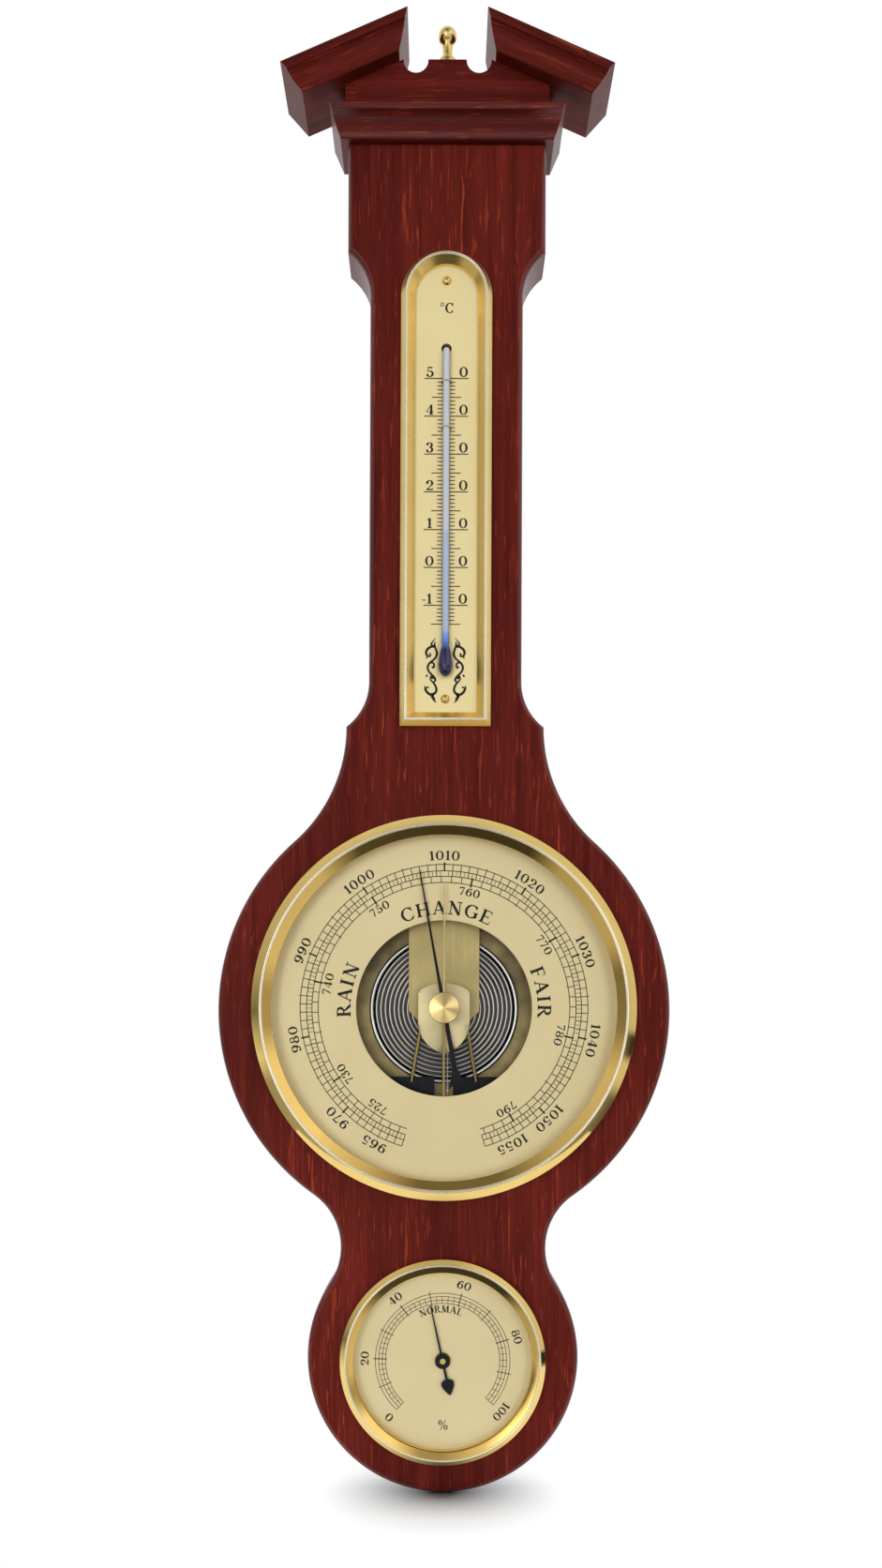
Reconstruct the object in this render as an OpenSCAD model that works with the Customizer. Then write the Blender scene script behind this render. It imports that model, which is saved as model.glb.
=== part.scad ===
// Banjo barometer: a wooden wall board with a thermometer, an aneroid barometer and a hygrometer.
// Millimetres. The origin is the round entry of the hanger's keyhole, on the wall plane.
// X points to the viewer's right, Z up, and the front faces -Y.
// Heights are counted from the barometer's centre.
// Levels are counted from the board's front, towards the viewer.

/* [Board] */
// Thickness of the board
board_t = 22; // [21:0.5:26]
// Radius of the belly round the barometer
belly_r = 95.3; // [91:0.1:100]
// How far the belly's centre lies below the barometer's centre
belly_drop = 0.8; // [0:0.1:2]
// Radius of the lobe round the hygrometer
lobe_r = 57; // [53:0.5:62]
// How far the lobe's centre lies above the hygrometer's centre
lobe_rise = 1; // [0:0.1:2]
// Distance from the barometer's centre down to the hygrometer's centre
hygro_drop = 148; // [144:1:156]
// Radius of the hollow between belly and lobe
waist_r = 27; // [22:1:40]
// Width of the head and of the ears
head_w = 83.4; // [76:0.2:92]
// Width of the neck
neck_w = 64.4; // [58:0.2:70]
// Radius of the coves between the neck and the head and ears
cove_r = 24; // [14:0.5:28]
// Height of the ears
ear_up = 118.8; // [112:0.1:126]
// Height of the head's lower corners
shoulder_up = 319; // [310:0.1:326]
// Height of the board's top end
board_up = 364.4; // [360:0.2:372]
// Radius of the rounded front edge
edge_r = 2.5; // [1:0.25:4]

/* [Pediment] */
// Length of the horizontal cornice along its top
cornice_w = 98; // [94:0.5:110]
// Height of the horizontal cornice
cornice_h = 9.6; // [8:0.2:14]
// How far the mouldings' lips stand out from the wall
crown_out = 33; // [31:0.5:38]
// How far the horizontal cornice's foot stands out from the wall
cornice_foot = 25; // [23:0.5:28]
// How far the raking cornices' feet stand out from the wall
rake_foot = 28; // [25:0.5:30]
// Height of the horizontal cornice's lip
lip_h = 2.8; // [1.6:0.2:3.4]
// Height of the raking cornices' lips
rake_lip = 4; // [2:0.2:5]
// How far the mouldings' outer ends are cut in at the foot
end_cut = 4.2; // [2:0.2:6]
// Slope of the raking cornices in degrees
rake_angle = 23.6; // [18:0.1:28]
// Height of the raking cornices, square to their slope
rake_h = 12.6; // [9:0.2:15]
// Overhang of the raking cornices past the panel's sides
rake_over = 19; // [12:0.2:22]
// Length of the panel's slopes under the raking cornices
rake_cover = 24.9; // [22:0.1:26]
// How far the raking cornices' inner ends are cut in at the foot
inner_cut = 9.4; // [6:0.2:12]
// Width of the tympanum panel
panel_w = 86; // [80:0.5:92]
// Thickness of the tympanum panel
panel_t = 12; // [10:0.5:18]
// Height of the panel's sides
panel_side = 14.4; // [12:0.2:18]
// Height of the panel's middle post
post_h = 25.1; // [23:0.1:28]
// Radius of the notches beside the post
notch_r = 5.2; // [4:0.1:6]
// Distance of the notches from the middle
notch_x = 13.3; // [12:0.1:15]
// Diameter of the finial's ball
finial_d = 7.9; // [6:0.1:10]
// Height of the finial above the post
finial_h = 17.7; // [15:0.1:22]
// Diameter of the dowels through the horizontal cornice
dowel_d = 6; // [4:0.5:8]
// Diameter of the dowels in the raking cornices
rake_dowel_d = 4; // [3:0.5:5]

/* [Hanger] */
// Height of the keyhole's round entry
hanger_up = 345; // [338:0.5:347]
// Radius of the keyhole's round entry
entry_r = 5; // [4:0.25:6]
// Width of the keyhole's slot
slot_w = 5; // [4:0.25:6]
// Rise of the slot above the entry
slot_rise = 7; // [5:0.5:8]
// Thickness of the hanger plate
hanger_t = 1.6; // [1:0.1:2.4]
// Depth of the pocket behind the hanger plate
pocket_d = 9; // [7:0.5:12]

/* [Thermometer] */
// Height of the frame's foot
frame_up = 118.2; // [112:0.1:124]
// Width of the frame
frame_w = 38.5; // [34:0.5:44]
// Length of the frame
frame_h = 200; // [196:0.5:206]
// Width of the frame's moulding
frame_face = 6; // [5:0.1:8]
// Height of the frame's crest
frame_crest = 4.5; // [3.5:0.1:6]
// Thickness of the scale plate
plate_t = 0.8; // [0.6:0.1:1.5]
// Radius of the glass tube
tube_r = 1.55; // [1.3:0.05:2]
// Radius of the tube's bore
bore_r = 0.45; // [0.3:0.05:0.6]
// Radius of the bulb
bulb_r = 2.85; // [2.4:0.05:3.4]
// Length of the bulb
bulb_l = 13.8; // [11:0.2:16]
// Height of the bulb's tip above the frame's foot
bulb_up = 20.9; // [19:0.1:24]
// Height of the tube's bent end above the frame's foot
tube_up = 159.3; // [155:0.1:164]
// Height of the zero line above the frame's foot
zero_up = 67.2; // [62:0.1:72]
// Height of one degree on the scale
degree = 1.59; // [1.4:0.01:1.75]
// Temperature that the spirit shows
reading = 9.2; // [-10:0.1:40]

/* [Barometer case] */
// Radius of the barometer's can
can_r = 74.8; // [70:0.1:78]
// How far the bezel reaches out past the can
bezel_over = 5.5; // [4:0.1:8]
// How far the bezel's crest lies outside the can
crest_over = 1.3; // [1:0.1:3]
// Height of the bezel's crest
bezel_h = 9; // [8:0.1:12]
// How far the bezel's lip reaches in over the glass
lip_in = 2.7; // [1.2:0.1:3.4]
// Wall of the can
can_wall = 0.8; // [0.6:0.1:1.2]
// Thickness of the glass
glass_t = 2; // [1.5:0.1:2.5]
// Level of the glass's back
glass_level = 4.4; // [4.2:0.1:5.2]
// Radius of the opening in the dial
opening_r = 37; // [34:0.5:40]
// Thickness of the dial
dial_t = 0.8; // [0.5:0.1:1.2]
// Level of the dial's face
dial_level = 0.5; // [0.3:0.1:0.6]

/* [Barometer movement] */
// Length of the indicator hand's pointer
indicator_l = 59; // [50:0.5:66]
// Length of the indicator hand's tail
indicator_tail = 34; // [30:0.5:36]
// Angle of the indicator hand from upright, clockwise
indicator_rest = -10.2; // [-60:0.1:60]
// Length of the set hand's pointer
set_l = 53; // [48:0.5:58]
// Length of the set hand's tail
set_tail = 37; // [30:0.5:40]
// Radius of the set knob
knob_r = 6.5; // [5:0.1:8]
// Height of the set knob
knob_h = 4.2; // [3:0.1:6]
// Number of notches in the knob's rim
knurls = 44; // [30:1:60]
// Width of the arbor bridge
bridge_w = 22; // [20:0.2:25]
// Thickness of the arbor bridge
bridge_t = 1; // [0.8:0.1:1.4]
// Room for the drum between the bridge and its rear plate
arbor_room = 3.8; // [3.6:0.1:4.4]
// Radius of the chain drum
drum_r = 1.3; // [1.2:0.05:1.5]
// Radius of the capsule
capsule_r = 32; // [30:0.5:33]
// Thickness of the capsule
capsule_t = 4.8; // [4.2:0.1:5.2]
// Number of rings pressed into the capsule
capsule_rings = 9; // [6:1:12]
// Width of the leaf spring
spring_w = 30; // [26:0.5:32]
// Thickness of the leaf spring
spring_t = 1.2; // [0.8:0.1:1.4]
// Length of the rocking shaft's short arm
short_arm = 2.1; // [2:0.1:2.4]
// Thickness of the movement plate
movement_t = 1.4; // [1:0.1:1.8]

/* [Hygrometer] */
// Radius of the hygrometer's can
hygro_can_r = 38.6; // [36:0.1:42]
// How far the hygrometer's bezel reaches out past its can
hygro_bezel_over = 4.4; // [3.4:0.1:6]
// How far the hygrometer bezel's crest lies outside its can
hygro_crest_over = 1.9; // [1.2:0.1:2.6]
// Height of the hygrometer's bezel
hygro_bezel_h = 6.4; // [6:0.1:8]
// How far the lip reaches in over the hygrometer's glass
hygro_lip_in = 1.2; // [0.8:0.1:1.8]
// Wall of the hygrometer's can
hygro_wall = 0.6; // [0.5:0.1:0.8]
// Depth of the hygrometer's can behind the board's front
hygro_depth = 18.8; // [16:0.1:19.5]
// Thickness of the hygrometer's glass
hygro_glass_t = 1.5; // [1.2:0.1:1.8]
// Length of the hygrometer's pointer
hygro_l = 23.9; // [20:0.1:28]
// Length of the hygrometer hand's tail
hygro_tail = 14.8; // [12:0.1:18]
// Angle of the hygrometer's hand from upright, clockwise
hygro_rest = -12.6; // [-60:0.1:60]
// Radius of the arbor
hygro_arbor_r = 1.2; // [1:0.05:1.4]

/* [Hidden] */
$fn = 96;

// Clearances
fit = 0.05;
gap = 0.3;
slip = 0.1;
over = 1;
// Overlap of pieces that are joined into one
join = 0.02;

// Colours
mahogany = [0.33, 0.11, 0.08];
brass = [0.83, 0.69, 0.40];
gilt = [0.86, 0.80, 0.62];
steel = [0.72, 0.73, 0.74];
blued = [0.08, 0.09, 0.12];
clear = [0.85, 0.92, 0.95, 0.35];

// Levels of the barometer, from the glass back to the wall
dial_back = dial_level - dial_t;
bridge_front = dial_back - 1.5;
bridge_back = bridge_front - bridge_t;
rear_front = bridge_back - arbor_room;
rear_t = 0.6;
rear_back = rear_front - rear_t;
spring_front = rear_back - 1.2;
spring_back = spring_front - spring_t;
capsule_top = spring_back - 1.4;
capsule_base = capsule_top - capsule_t;
capsule_foot = 0.8;
movement_front = capsule_base - capsule_foot;
movement_back = movement_front - movement_t;
wall_gap = 0.7;
can_back = wall_gap - board_t;
can_floor = can_back + can_wall;
lip_t = 0.5;
glass_front = glass_level + glass_t;
indicator_level = 1.8;
indicator_t = 0.4;
hub_spare = 0.3;
set_level = 3.1;
set_t = 0.5;
knob_level = glass_front + gap;

// Radii of the barometer's case
skirt_t = 0.75;
skirt_l = 5;
can_in = can_r - can_wall;
bezel_r = can_r + bezel_over;
crest_r = can_r + crest_over;
view_r = can_r - lip_in;
skirt_in = can_r + fit;
skirt_out = skirt_in + skirt_t;
board_hole_r = skirt_out + slip;
dial_r = can_in - slip;

// Outline of the board: belly, waist, flare and coves meet as tangent arcs
to_belly = belly_r + waist_r;
to_lobe = lobe_r + waist_r;
lobe_down = hygro_drop - lobe_rise;
belly_to_lobe = lobe_down - belly_drop;
waist_down = (to_belly * to_belly - to_lobe * to_lobe + belly_to_lobe * belly_to_lobe) / (2 * belly_to_lobe);
waist_up = -belly_drop - waist_down;
waist_x = sqrt(to_belly * to_belly - waist_down * waist_down);
ear_rise = ear_up + belly_drop;
flare_r = (head_w * head_w / 4 + ear_rise * ear_rise - belly_r * belly_r) / (2 * belly_r - head_w);
flare_x = head_w / 2 + flare_r;
cove_x = neck_w / 2 + cove_r;
cove_rise = sqrt(cove_r * cove_r - pow(cove_x - head_w / 2, 2));
cove_turn = atan2(cove_rise, cove_x - head_w / 2);
dial_z = -hanger_up;

function arc(c, r, from, to, steps, first = 0) =
    [for (i = [first:steps]) let (a = from + (to - from) * i / steps) c + r * [cos(a), sin(a)]];

board_side = concat(
    arc([0, -lobe_down], lobe_r, -90, atan2(waist_up + lobe_down, waist_x), 24),
    arc([waist_x, waist_up], waist_r, 180 + atan2(waist_up + lobe_down, waist_x),
        180 - atan2(waist_down, waist_x), 14, 1),
    arc([0, -belly_drop], belly_r, -atan2(waist_down, waist_x), atan2(ear_rise, flare_x), 28, 1),
    arc([flare_x, ear_up], flare_r, 180 + atan2(ear_rise, flare_x), 180, 12, 1),
    arc([cove_x, ear_up + cove_rise], cove_r, 180 + cove_turn, 180, 7, 1),
    arc([cove_x, shoulder_up - cove_rise], cove_r, 180, 180 - cove_turn, 7),
    [[head_w / 2, board_up + edge_r + over]]
);
side_n = len(board_side);
board_ring = concat(board_side, [for (i = [side_n - 1:-1:1]) [-board_side[i][0], board_side[i][1]]]);
ring_n = len(board_ring);
round_steps = 3;

function unit(v) = v / norm(v);
function inward(a, b) = let (e = unit(b - a)) [-e[1], e[0]];
function inset(points, o) = let (n = len(points)) [for (i = [0:n - 1])
    let (before = inward(points[(i + n - 1) % n], points[i]))
    let (after = inward(points[i], points[(i + 1) % n]))
    points[i] + o * (before + after) / (1 + before * after)];

// Places a shape drawn from the front: X right, Y up from the barometer's centre, Z towards the viewer
module face(level) {
    translate([0, -board_t - level, dial_z]) rotate([90, 0, 0]) children();
}

// A plate of the drawn outline between two levels
module slab(back, front) {
    face(back) linear_extrude(front - back) children();
}

// A turned piece between two levels
module disc(back, front, r) {
    face(back) cylinder(h = front - back, r = r);
}

module ring(r_out, r_in) {
    difference() {
        circle(r_out);
        circle(r_in);
    }
}

// Shape with rounded ends, upright, between two heights
module capsule_slot(w, low, high) {
    translate([-w / 2, low + w / 2]) square([w, high - low - w]);
    translate([0, low + w / 2]) circle(w / 2);
    translate([0, high - w / 2]) circle(w / 2);
}

module at_hygro() {
    translate([0, 0, -hygro_drop]) children();
}

// Board

board_levels = concat([[0, 0], [0, board_t - edge_r]],
    [for (k = [1:round_steps]) let (a = 90 * k / round_steps)
        [edge_r * (1 - cos(a)), board_t - edge_r + edge_r * sin(a)]]);
board_points = [for (level = board_levels) for (p = inset(board_ring, level[0])) [p[0], -level[1], p[1]]];
front_ring = (len(board_levels) - 1) * ring_n;

function band(k) = [for (i = [0:ring_n - 1])
    let (a = k * ring_n + i, b = k * ring_n + (i + 1) % ring_n)
    each [[a, a + ring_n, b + ring_n], [a, b + ring_n, b]]];
function ladder(base) = concat([[base, base + ring_n - 1, base + 1]], [for (i = [1:side_n - 2])
    let (r = base + i, l = base + ring_n - i) each [[r, l, l - 1], [r, l - 1, r + 1]]]);
function flipped(faces) = [for (f = faces) [f[2], f[1], f[0]]];

module board_blank() {
    translate([0, 0, dial_z]) polyhedron(points = board_points, faces = concat(
        [for (k = [0:len(board_levels) - 2]) each band(k)], ladder(front_ring), flipped(ladder(0))));
}

module case_board() {
    color(mahogany) difference() {
        board_blank();
        translate([-head_w, -board_t - over, board_up + dial_z]) cube([2 * head_w, board_t + 2 * over, head_w]);
        disc(-board_t - over, over, board_hole_r);
        at_hygro() disc(-board_t - over, over, hygro_hole_r);
        slab(-plate_t, over) plate_outline(plate_w);
        slab(-bulb_pocket, over) bulb_slot();
        slab(-bulb_pocket, over) translate([0, frame_up + tube_up]) circle(tube_hole_r);
        pin_places() disc(-pin_l - fit, over, pin_r + fit);
        staple_places() staple_legs(wire_r + fit, staple_l + fit);
        translate([0, over, 0]) rotate([90, 0, 0]) linear_extrude(hanger_t + over) hanger_outline(slip);
        translate([0, over, 0]) rotate([90, 0, 0]) linear_extrude(hanger_t + pocket_d + over)
            capsule_slot(2 * pocket_r, -pocket_r, slot_rise + pocket_r);
        hanger_screw_places() cylinder(h = hanger_screw_l + fit, r = hanger_shank_r + fit);
        cornice_dowel_places() cylinder(h = dowel_l, d = dowel_d + 2 * fit, center = true);
    }
}

// Pediment

dowel_x = 0.3 * head_w;
dowel_level = -panel_t / 2 - 2;
dowel_in_board = 14;
dowel_in_panel = 9;
dowel_l = dowel_in_board + cornice_h + dowel_in_panel;
cornice_z = board_up + dial_z;
panel_z = cornice_z + cornice_h;
panel_corner = panel_side;
ogee_bend = 0.85;
ogee_flat = 0.3;
rake_dowel_u = rake_cover / 2;
rake_dowel_in = 6;
finial_level = -panel_t / 2;
finial_pin_r = 1.5;
finial_pin_l = 7;

module cornice_dowel_places() {
    for (x = [-dowel_x, dowel_x])
        translate([x, -board_t - dowel_level, cornice_z - dowel_in_board + dowel_l / 2]) children();
}

// Section of a crown moulding: a lip over a hollow that runs into a round
module crown(out, foot, h, lip) {
    top = [out, h - lip];
    low = [foot, 0];
    along = unit(low - top);
    outward = [-along[1], along[0]];
    half = norm(low - top) / 2 - ogee_flat / 2;
    bend_r = ogee_bend * half;
    centre_off = sqrt(bend_r * bend_r - half * half / 4);
    difference() {
        polygon([[0, 0], low, top, [out, h], [0, h]]);
        translate(top + along * half / 2 + outward * centre_off) circle(bend_r);
    }
    intersection() {
        translate(low - along * half / 2 - outward * centre_off) circle(bend_r);
        polygon([low - outward, low + outward * half, low - along * half + outward * half,
            low - along * half - outward]);
    }
}

// A moulding along X whose ends are cut to the outline seen from the front
module moulding(out, foot, h, lip, low, high) {
    intersection() {
        translate([high[0], 0, 0]) mirror([0, 1, 0]) rotate([90, 0, 90])
            linear_extrude(high[1] - high[0]) crown(out, foot, h, lip);
        rotate([90, 0, 0]) linear_extrude(out)
            polygon([[low[0], 0], [low[1], 0], [high[1], h], [high[0], h]]);
    }
}

module horizontal_cornice() {
    color(mahogany) difference() {
        translate([0, 0, cornice_z]) moulding(crown_out, cornice_foot, cornice_h, lip_h,
            [-cornice_w / 2 + end_cut, cornice_w / 2 - end_cut], [-cornice_w / 2, cornice_w / 2]);
        cornice_dowel_places() cylinder(h = dowel_l + over, d = dowel_d + 2 * fit, center = true);
    }
}

module cornice_dowels() {
    color("tan") cornice_dowel_places() cylinder(h = dowel_l - 2 * gap, d = dowel_d, center = true);
}

module panel_outline() {
    peak = panel_corner + (panel_w / 2 - notch_x) * tan(rake_angle);
    difference() {
        polygon([[-panel_w / 2, 0], [panel_w / 2, 0], [panel_w / 2, panel_corner], [notch_x, peak],
            [notch_x, post_h], [-notch_x, post_h], [-notch_x, peak], [-panel_w / 2, panel_corner]]);
        for (x = [-notch_x, notch_x]) translate([x, post_h - 0.4]) circle(notch_r);
    }
}

module tympanum_panel() {
    color(mahogany) difference() {
        translate([0, -board_t + panel_t, panel_z]) rotate([90, 0, 0]) linear_extrude(panel_t) panel_outline();
        cornice_dowel_places() cylinder(h = dowel_l, d = dowel_d + 2 * fit, center = true);
        finial_place() translate([0, 0, -finial_pin_l - fit])
            cylinder(h = finial_pin_l + over, r = finial_pin_r + fit);
        for (side = [0, 1]) mirror([side, 0, 0]) left_rake_place() rake_dowel(fit);
    }
}

// Places a shape on the left slope: X along the slope towards the middle, Z square to it
module left_rake_place() {
    translate([-panel_w / 2, 0, panel_z + panel_corner]) rotate([0, -rake_angle, 0]) children();
}

module rake_dowel(spare) {
    translate([rake_dowel_u, -board_t + panel_t / 2, 0])
        cylinder(h = 2 * (rake_dowel_in + spare), d = rake_dowel_d + 2 * spare, center = true);
}

module left_raking_cornice() {
    color(mahogany) left_rake_place() difference() {
        moulding(crown_out, rake_foot, rake_h, rake_lip, [-rake_over, rake_cover],
            [-rake_over - end_cut, rake_cover + inner_cut]);
        rake_dowel(fit);
    }
}

module right_raking_cornice() {
    mirror([1, 0, 0]) left_raking_cornice();
}

module rake_dowels() {
    color("tan") for (side = [0, 1]) mirror([side, 0, 0]) left_rake_place() rake_dowel(0);
}

module finial_place() {
    translate([0, -board_t - finial_level, panel_z + post_h]) children();
}

// Turned finial: a foot, a flange, a waisted neck and a ball, on a pin
module finial() {
    ball_r = finial_d / 2;
    flange_r = ball_r + 0.2;
    flange_z = 0.28 * finial_h;
    flange_t = 1.2;
    neck_r = 0.66 * ball_r;
    ball_z = finial_h - ball_r;
    neck_mid = (flange_z + flange_t + ball_z) / 2;
    hollow_r = 5;
    color(brass) finial_place() {
        translate([0, 0, -finial_pin_l]) cylinder(h = finial_pin_l + over, r = finial_pin_r);
        rotate_extrude() difference() {
            polygon([[0, 0], [flange_r - 0.4, 0], [neck_r, 1.4], [neck_r, flange_z - 1],
                [flange_r, flange_z - 0.4], [flange_r, flange_z + flange_t - 0.4],
                [neck_r + 0.5, flange_z + flange_t], [ball_r, ball_z], [0, ball_z]]);
            translate([neck_r + hollow_r, neck_mid]) circle(hollow_r);
        }
        translate([0, 0, ball_z]) sphere(ball_r);
    }
}

// Hanger

pocket_r = entry_r + 2;
hanger_w = 46;
hanger_low = entry_r + 5;
hanger_high = slot_rise + slot_w / 2 + 4;
hanger_corner = 4;
hanger_screw_x = hanger_w / 2 - 6;
hanger_screw_z = (hanger_high - hanger_low) / 2;
hanger_shank_r = 1.4;
hanger_head_r = 2.9;
hanger_screw_l = 11;

module hanger_outline(spare) {
    w = hanger_w / 2 + spare - hanger_corner;
    low = -hanger_low - spare + hanger_corner;
    high = hanger_high + spare - hanger_corner;
    translate([-w, low - hanger_corner]) square([2 * w, high - low + 2 * hanger_corner]);
    translate([-w - hanger_corner, low]) square([2 * w + 2 * hanger_corner, high - low]);
    for (x = [-w, w]) for (z = [low, high]) translate([x, z]) circle(hanger_corner);
}

module hanger_screw_places() {
    for (x = [-hanger_screw_x, hanger_screw_x]) translate([x, 0, hanger_screw_z]) rotate([90, 0, 0]) children();
}

module hanger_plate() {
    color(brass) difference() {
        rotate([90, 0, 0]) linear_extrude(hanger_t) difference() {
            hanger_outline(0);
            circle(entry_r);
            translate([-slot_w / 2, 0]) square([slot_w, slot_rise]);
            translate([0, slot_rise]) circle(slot_w / 2);
        }
        hanger_screw_places() hanger_screw_shape(fit);
    }
}

module hanger_screw_shape(spare) {
    head_h = hanger_head_r - hanger_shank_r;
    translate([0, 0, -spare])
        cylinder(h = head_h + spare, r1 = hanger_head_r + 2 * spare, r2 = hanger_shank_r + spare);
    translate([0, 0, head_h / 2]) cylinder(h = hanger_screw_l - head_h / 2, r = hanger_shank_r + spare);
}

module hanger_screws() {
    color(brass) difference() {
        hanger_screw_places() hanger_screw_shape(0);
        hanger_screw_places() translate([-hanger_head_r, -0.35, -over])
            cube([2 * hanger_head_r, 0.7, over + 0.6]);
    }
}

// Thermometer

plate_margin = 2.25;
plate_w = frame_w - 2 * plate_margin;
arch_up = frame_up + frame_h - frame_w / 2;
tube_level = tube_r + fit;
bulb_pocket = bulb_r - tube_level + 1;
bend_r = 2.5;
tube_hole_r = tube_r + 0.6;
pin_r = 0.75;
pin_l = 9;
pin_head_r = 2;
pin_head_h = 1.1;
pin_low = 11.9;
pin_top = 12.2;
wire_r = 0.25;
staple_r = tube_r + fit + wire_r;
staple_l = 3;
staple_ups = [125.4, 144.7];
bulb_wall = 0.45;
bulb_steps = 10;

module plate_outline(w) {
    translate([-w / 2, frame_up + plate_margin]) square([w, arch_up - frame_up - plate_margin]);
    translate([0, arch_up]) circle(w / 2);
}

module bulb_slot() {
    capsule_slot(2 * bulb_r + 0.8, frame_up + bulb_up - 1.2, frame_up + bulb_up + bulb_l + 2);
}

module pin_places() {
    for (z = [frame_up + pin_low, frame_up + frame_h - pin_top]) translate([0, 0, z]) children();
}

module staple_places() {
    for (z = staple_ups) translate([0, 0, frame_up + z]) children();
}

module staple_legs(r, l) {
    for (x = [-staple_r, staple_r]) translate([x, 0, 0]) disc(-l, tube_level, r);
}

// Section of the frame's moulding, measured from the frame's middle outwards
module frame_section() {
    edge = frame_w / 2;
    polygon([[edge, 0], [edge, 0.45 * frame_crest], [edge - 0.39 * frame_face, frame_crest - 0.4],
        [edge - 0.43 * frame_face, frame_crest], [edge - 0.55 * frame_face, frame_crest],
        [edge - 0.59 * frame_face, frame_crest - 0.4], [edge - frame_face, 0.2 * frame_crest],
        [edge - frame_face, 0]]);
}

module frame_rail(length) {
    rotate([90, 0, 0]) linear_extrude(length) frame_section();
}

module frame_mitre(spare) {
    half = frame_w / 2 + spare;
    linear_extrude(frame_crest + over) polygon([[-half, frame_up], [half, frame_up], [0, frame_up + half]]);
}

module thermometer_frame() {
    color(brass) face(0) {
        translate([0, arch_up, 0]) rotate_extrude(angle = 180) frame_section();
        difference() {
            for (side = [0, 1]) mirror([side, 0, 0])
                translate([0, arch_up, 0]) frame_rail(arch_up - frame_up);
            frame_mitre(0);
        }
        intersection() {
            translate([-frame_w / 2, frame_up + frame_w / 2, 0]) rotate([0, 0, -90])
                translate([0, frame_w, 0]) frame_rail(frame_w);
            frame_mitre(join);
        }
    }
}

module thermometer_plate() {
    color(gilt) difference() {
        slab(-plate_t, 0) difference() {
            plate_outline(plate_w - 2 * slip);
            bulb_slot();
            translate([0, frame_up + tube_up]) circle(tube_hole_r);
        }
        pin_places() disc(-pin_l, over, pin_r + fit);
        staple_places() staple_legs(wire_r + fit, staple_l);
    }
}

module plate_pins() {
    dome_r = (pin_head_r * pin_head_r + pin_head_h * pin_head_h) / (2 * pin_head_h);
    color(brass) pin_places() {
        disc(-pin_l, 0.5, pin_r);
        intersection() {
            face(pin_head_h - dome_r) sphere(dome_r);
            disc(0, 2 * pin_head_h, pin_head_r + over);
        }
    }
}

// Outline of the bulb beside its axis, from the pointed tip up to the tube
function bulb_side(r, neck, low, high) = [for (i = [0:bulb_steps]) let (t = i / bulb_steps)
    [max(r * pow(sin(180 * pow(t, 0.85)), 0.75), t > 0.5 ? neck : 0), low + (high - low) * t]];

module tube_place() {
    translate([0, -board_t - tube_level, dial_z + frame_up]) children();
}

module bulb_shape(r, neck, low, high) {
    rotate_extrude() polygon(concat([[0, low]], bulb_side(r, neck, low, high), [[0, high]]));
}

// The tube's upper end bends back through the plate
module tube_end(r) {
    translate([0, bend_r, tube_up - bend_r]) rotate([90, 0, -90]) translate([0, 0, 0])
        rotate_extrude(angle = 90) translate([bend_r, 0]) circle(r);
    translate([0, bend_r, tube_up]) rotate([-90, 0, 0]) cylinder(h = over, r = r);
}

module thermometer_tube() {
    bulb_top = bulb_up + bulb_l;
    color(clear) tube_place() difference() {
        union() {
            bulb_shape(bulb_r, tube_r, bulb_up, bulb_top);
            translate([0, 0, bulb_top]) cylinder(h = tube_up - bend_r - bulb_top, r = tube_r);
            tube_end(tube_r);
        }
        bulb_shape(bulb_r - bulb_wall, bore_r, bulb_up + bulb_wall, bulb_top);
        translate([0, 0, bulb_top - over]) cylinder(h = tube_up - bend_r - bulb_top, r = bore_r);
    }
}

module thermometer_spirit() {
    bulb_top = bulb_up + bulb_l;
    color("royalblue") tube_place() {
        bulb_shape(bulb_r - bulb_wall - fit, bore_r - fit, bulb_up + 2 * bulb_wall, bulb_top - fit);
        translate([0, 0, bulb_top - over])
            cylinder(h = zero_up + reading * degree - bulb_top + over, r = bore_r - fit);
    }
}

module tube_staples() {
    color(brass) staple_places() {
        staple_legs(wire_r, staple_l);
        face(tube_level) rotate([90, 0, 0]) rotate_extrude(angle = 180) translate([staple_r, 0]) circle(wire_r);
    }
}

// Barometer case

pillar_r = 2.5;
pillar_margin = 12.8;
foot_margin = 16.8;
pillar_ring = can_r - pillar_margin;
foot_boss_r = 5;
foot_ring = can_r - foot_margin;
foot_head_r = 3;
foot_head_t = 1.2;
foot_shank_r = 1.25;
regulator_up = can_r - foot_margin;
regulator_r = 2;
regulator_head_r = 3.6;
access_r = regulator_head_r + 0.6;

// A brass bezel: skirt, upright wall, outer slope, beaded crest, inner slope and lip over the glass
module bezel(foot_r, crest, h, lip_r, seat_r, lip_under, outer_skirt_r) {
    bead = 0.07 * h;
    shoulder = 0.62 * h;
    color(brass) face(0) rotate_extrude() polygon(concat(
        [[seat_r, -skirt_l], [outer_skirt_r, -skirt_l], [outer_skirt_r, 0], [foot_r, 0],
            [foot_r, shoulder], [crest + bead, h - 2 * bead]],
        arc([crest, h - bead], bead, 0, 180, 6),
        [[crest - bead, h - 2 * bead], [lip_r, lip_under + lip_t], [lip_r, lip_under], [seat_r, lip_under]]));
}

module feet() {
    for (a = [0, 120, 240]) rotate([0, -a, 0]) children();
}

module in_dial() {
    translate([0, 0, dial_z]) children();
}

module foot_places() {
    in_dial() feet() translate([foot_ring, 0, -dial_z]) children();
}

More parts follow.
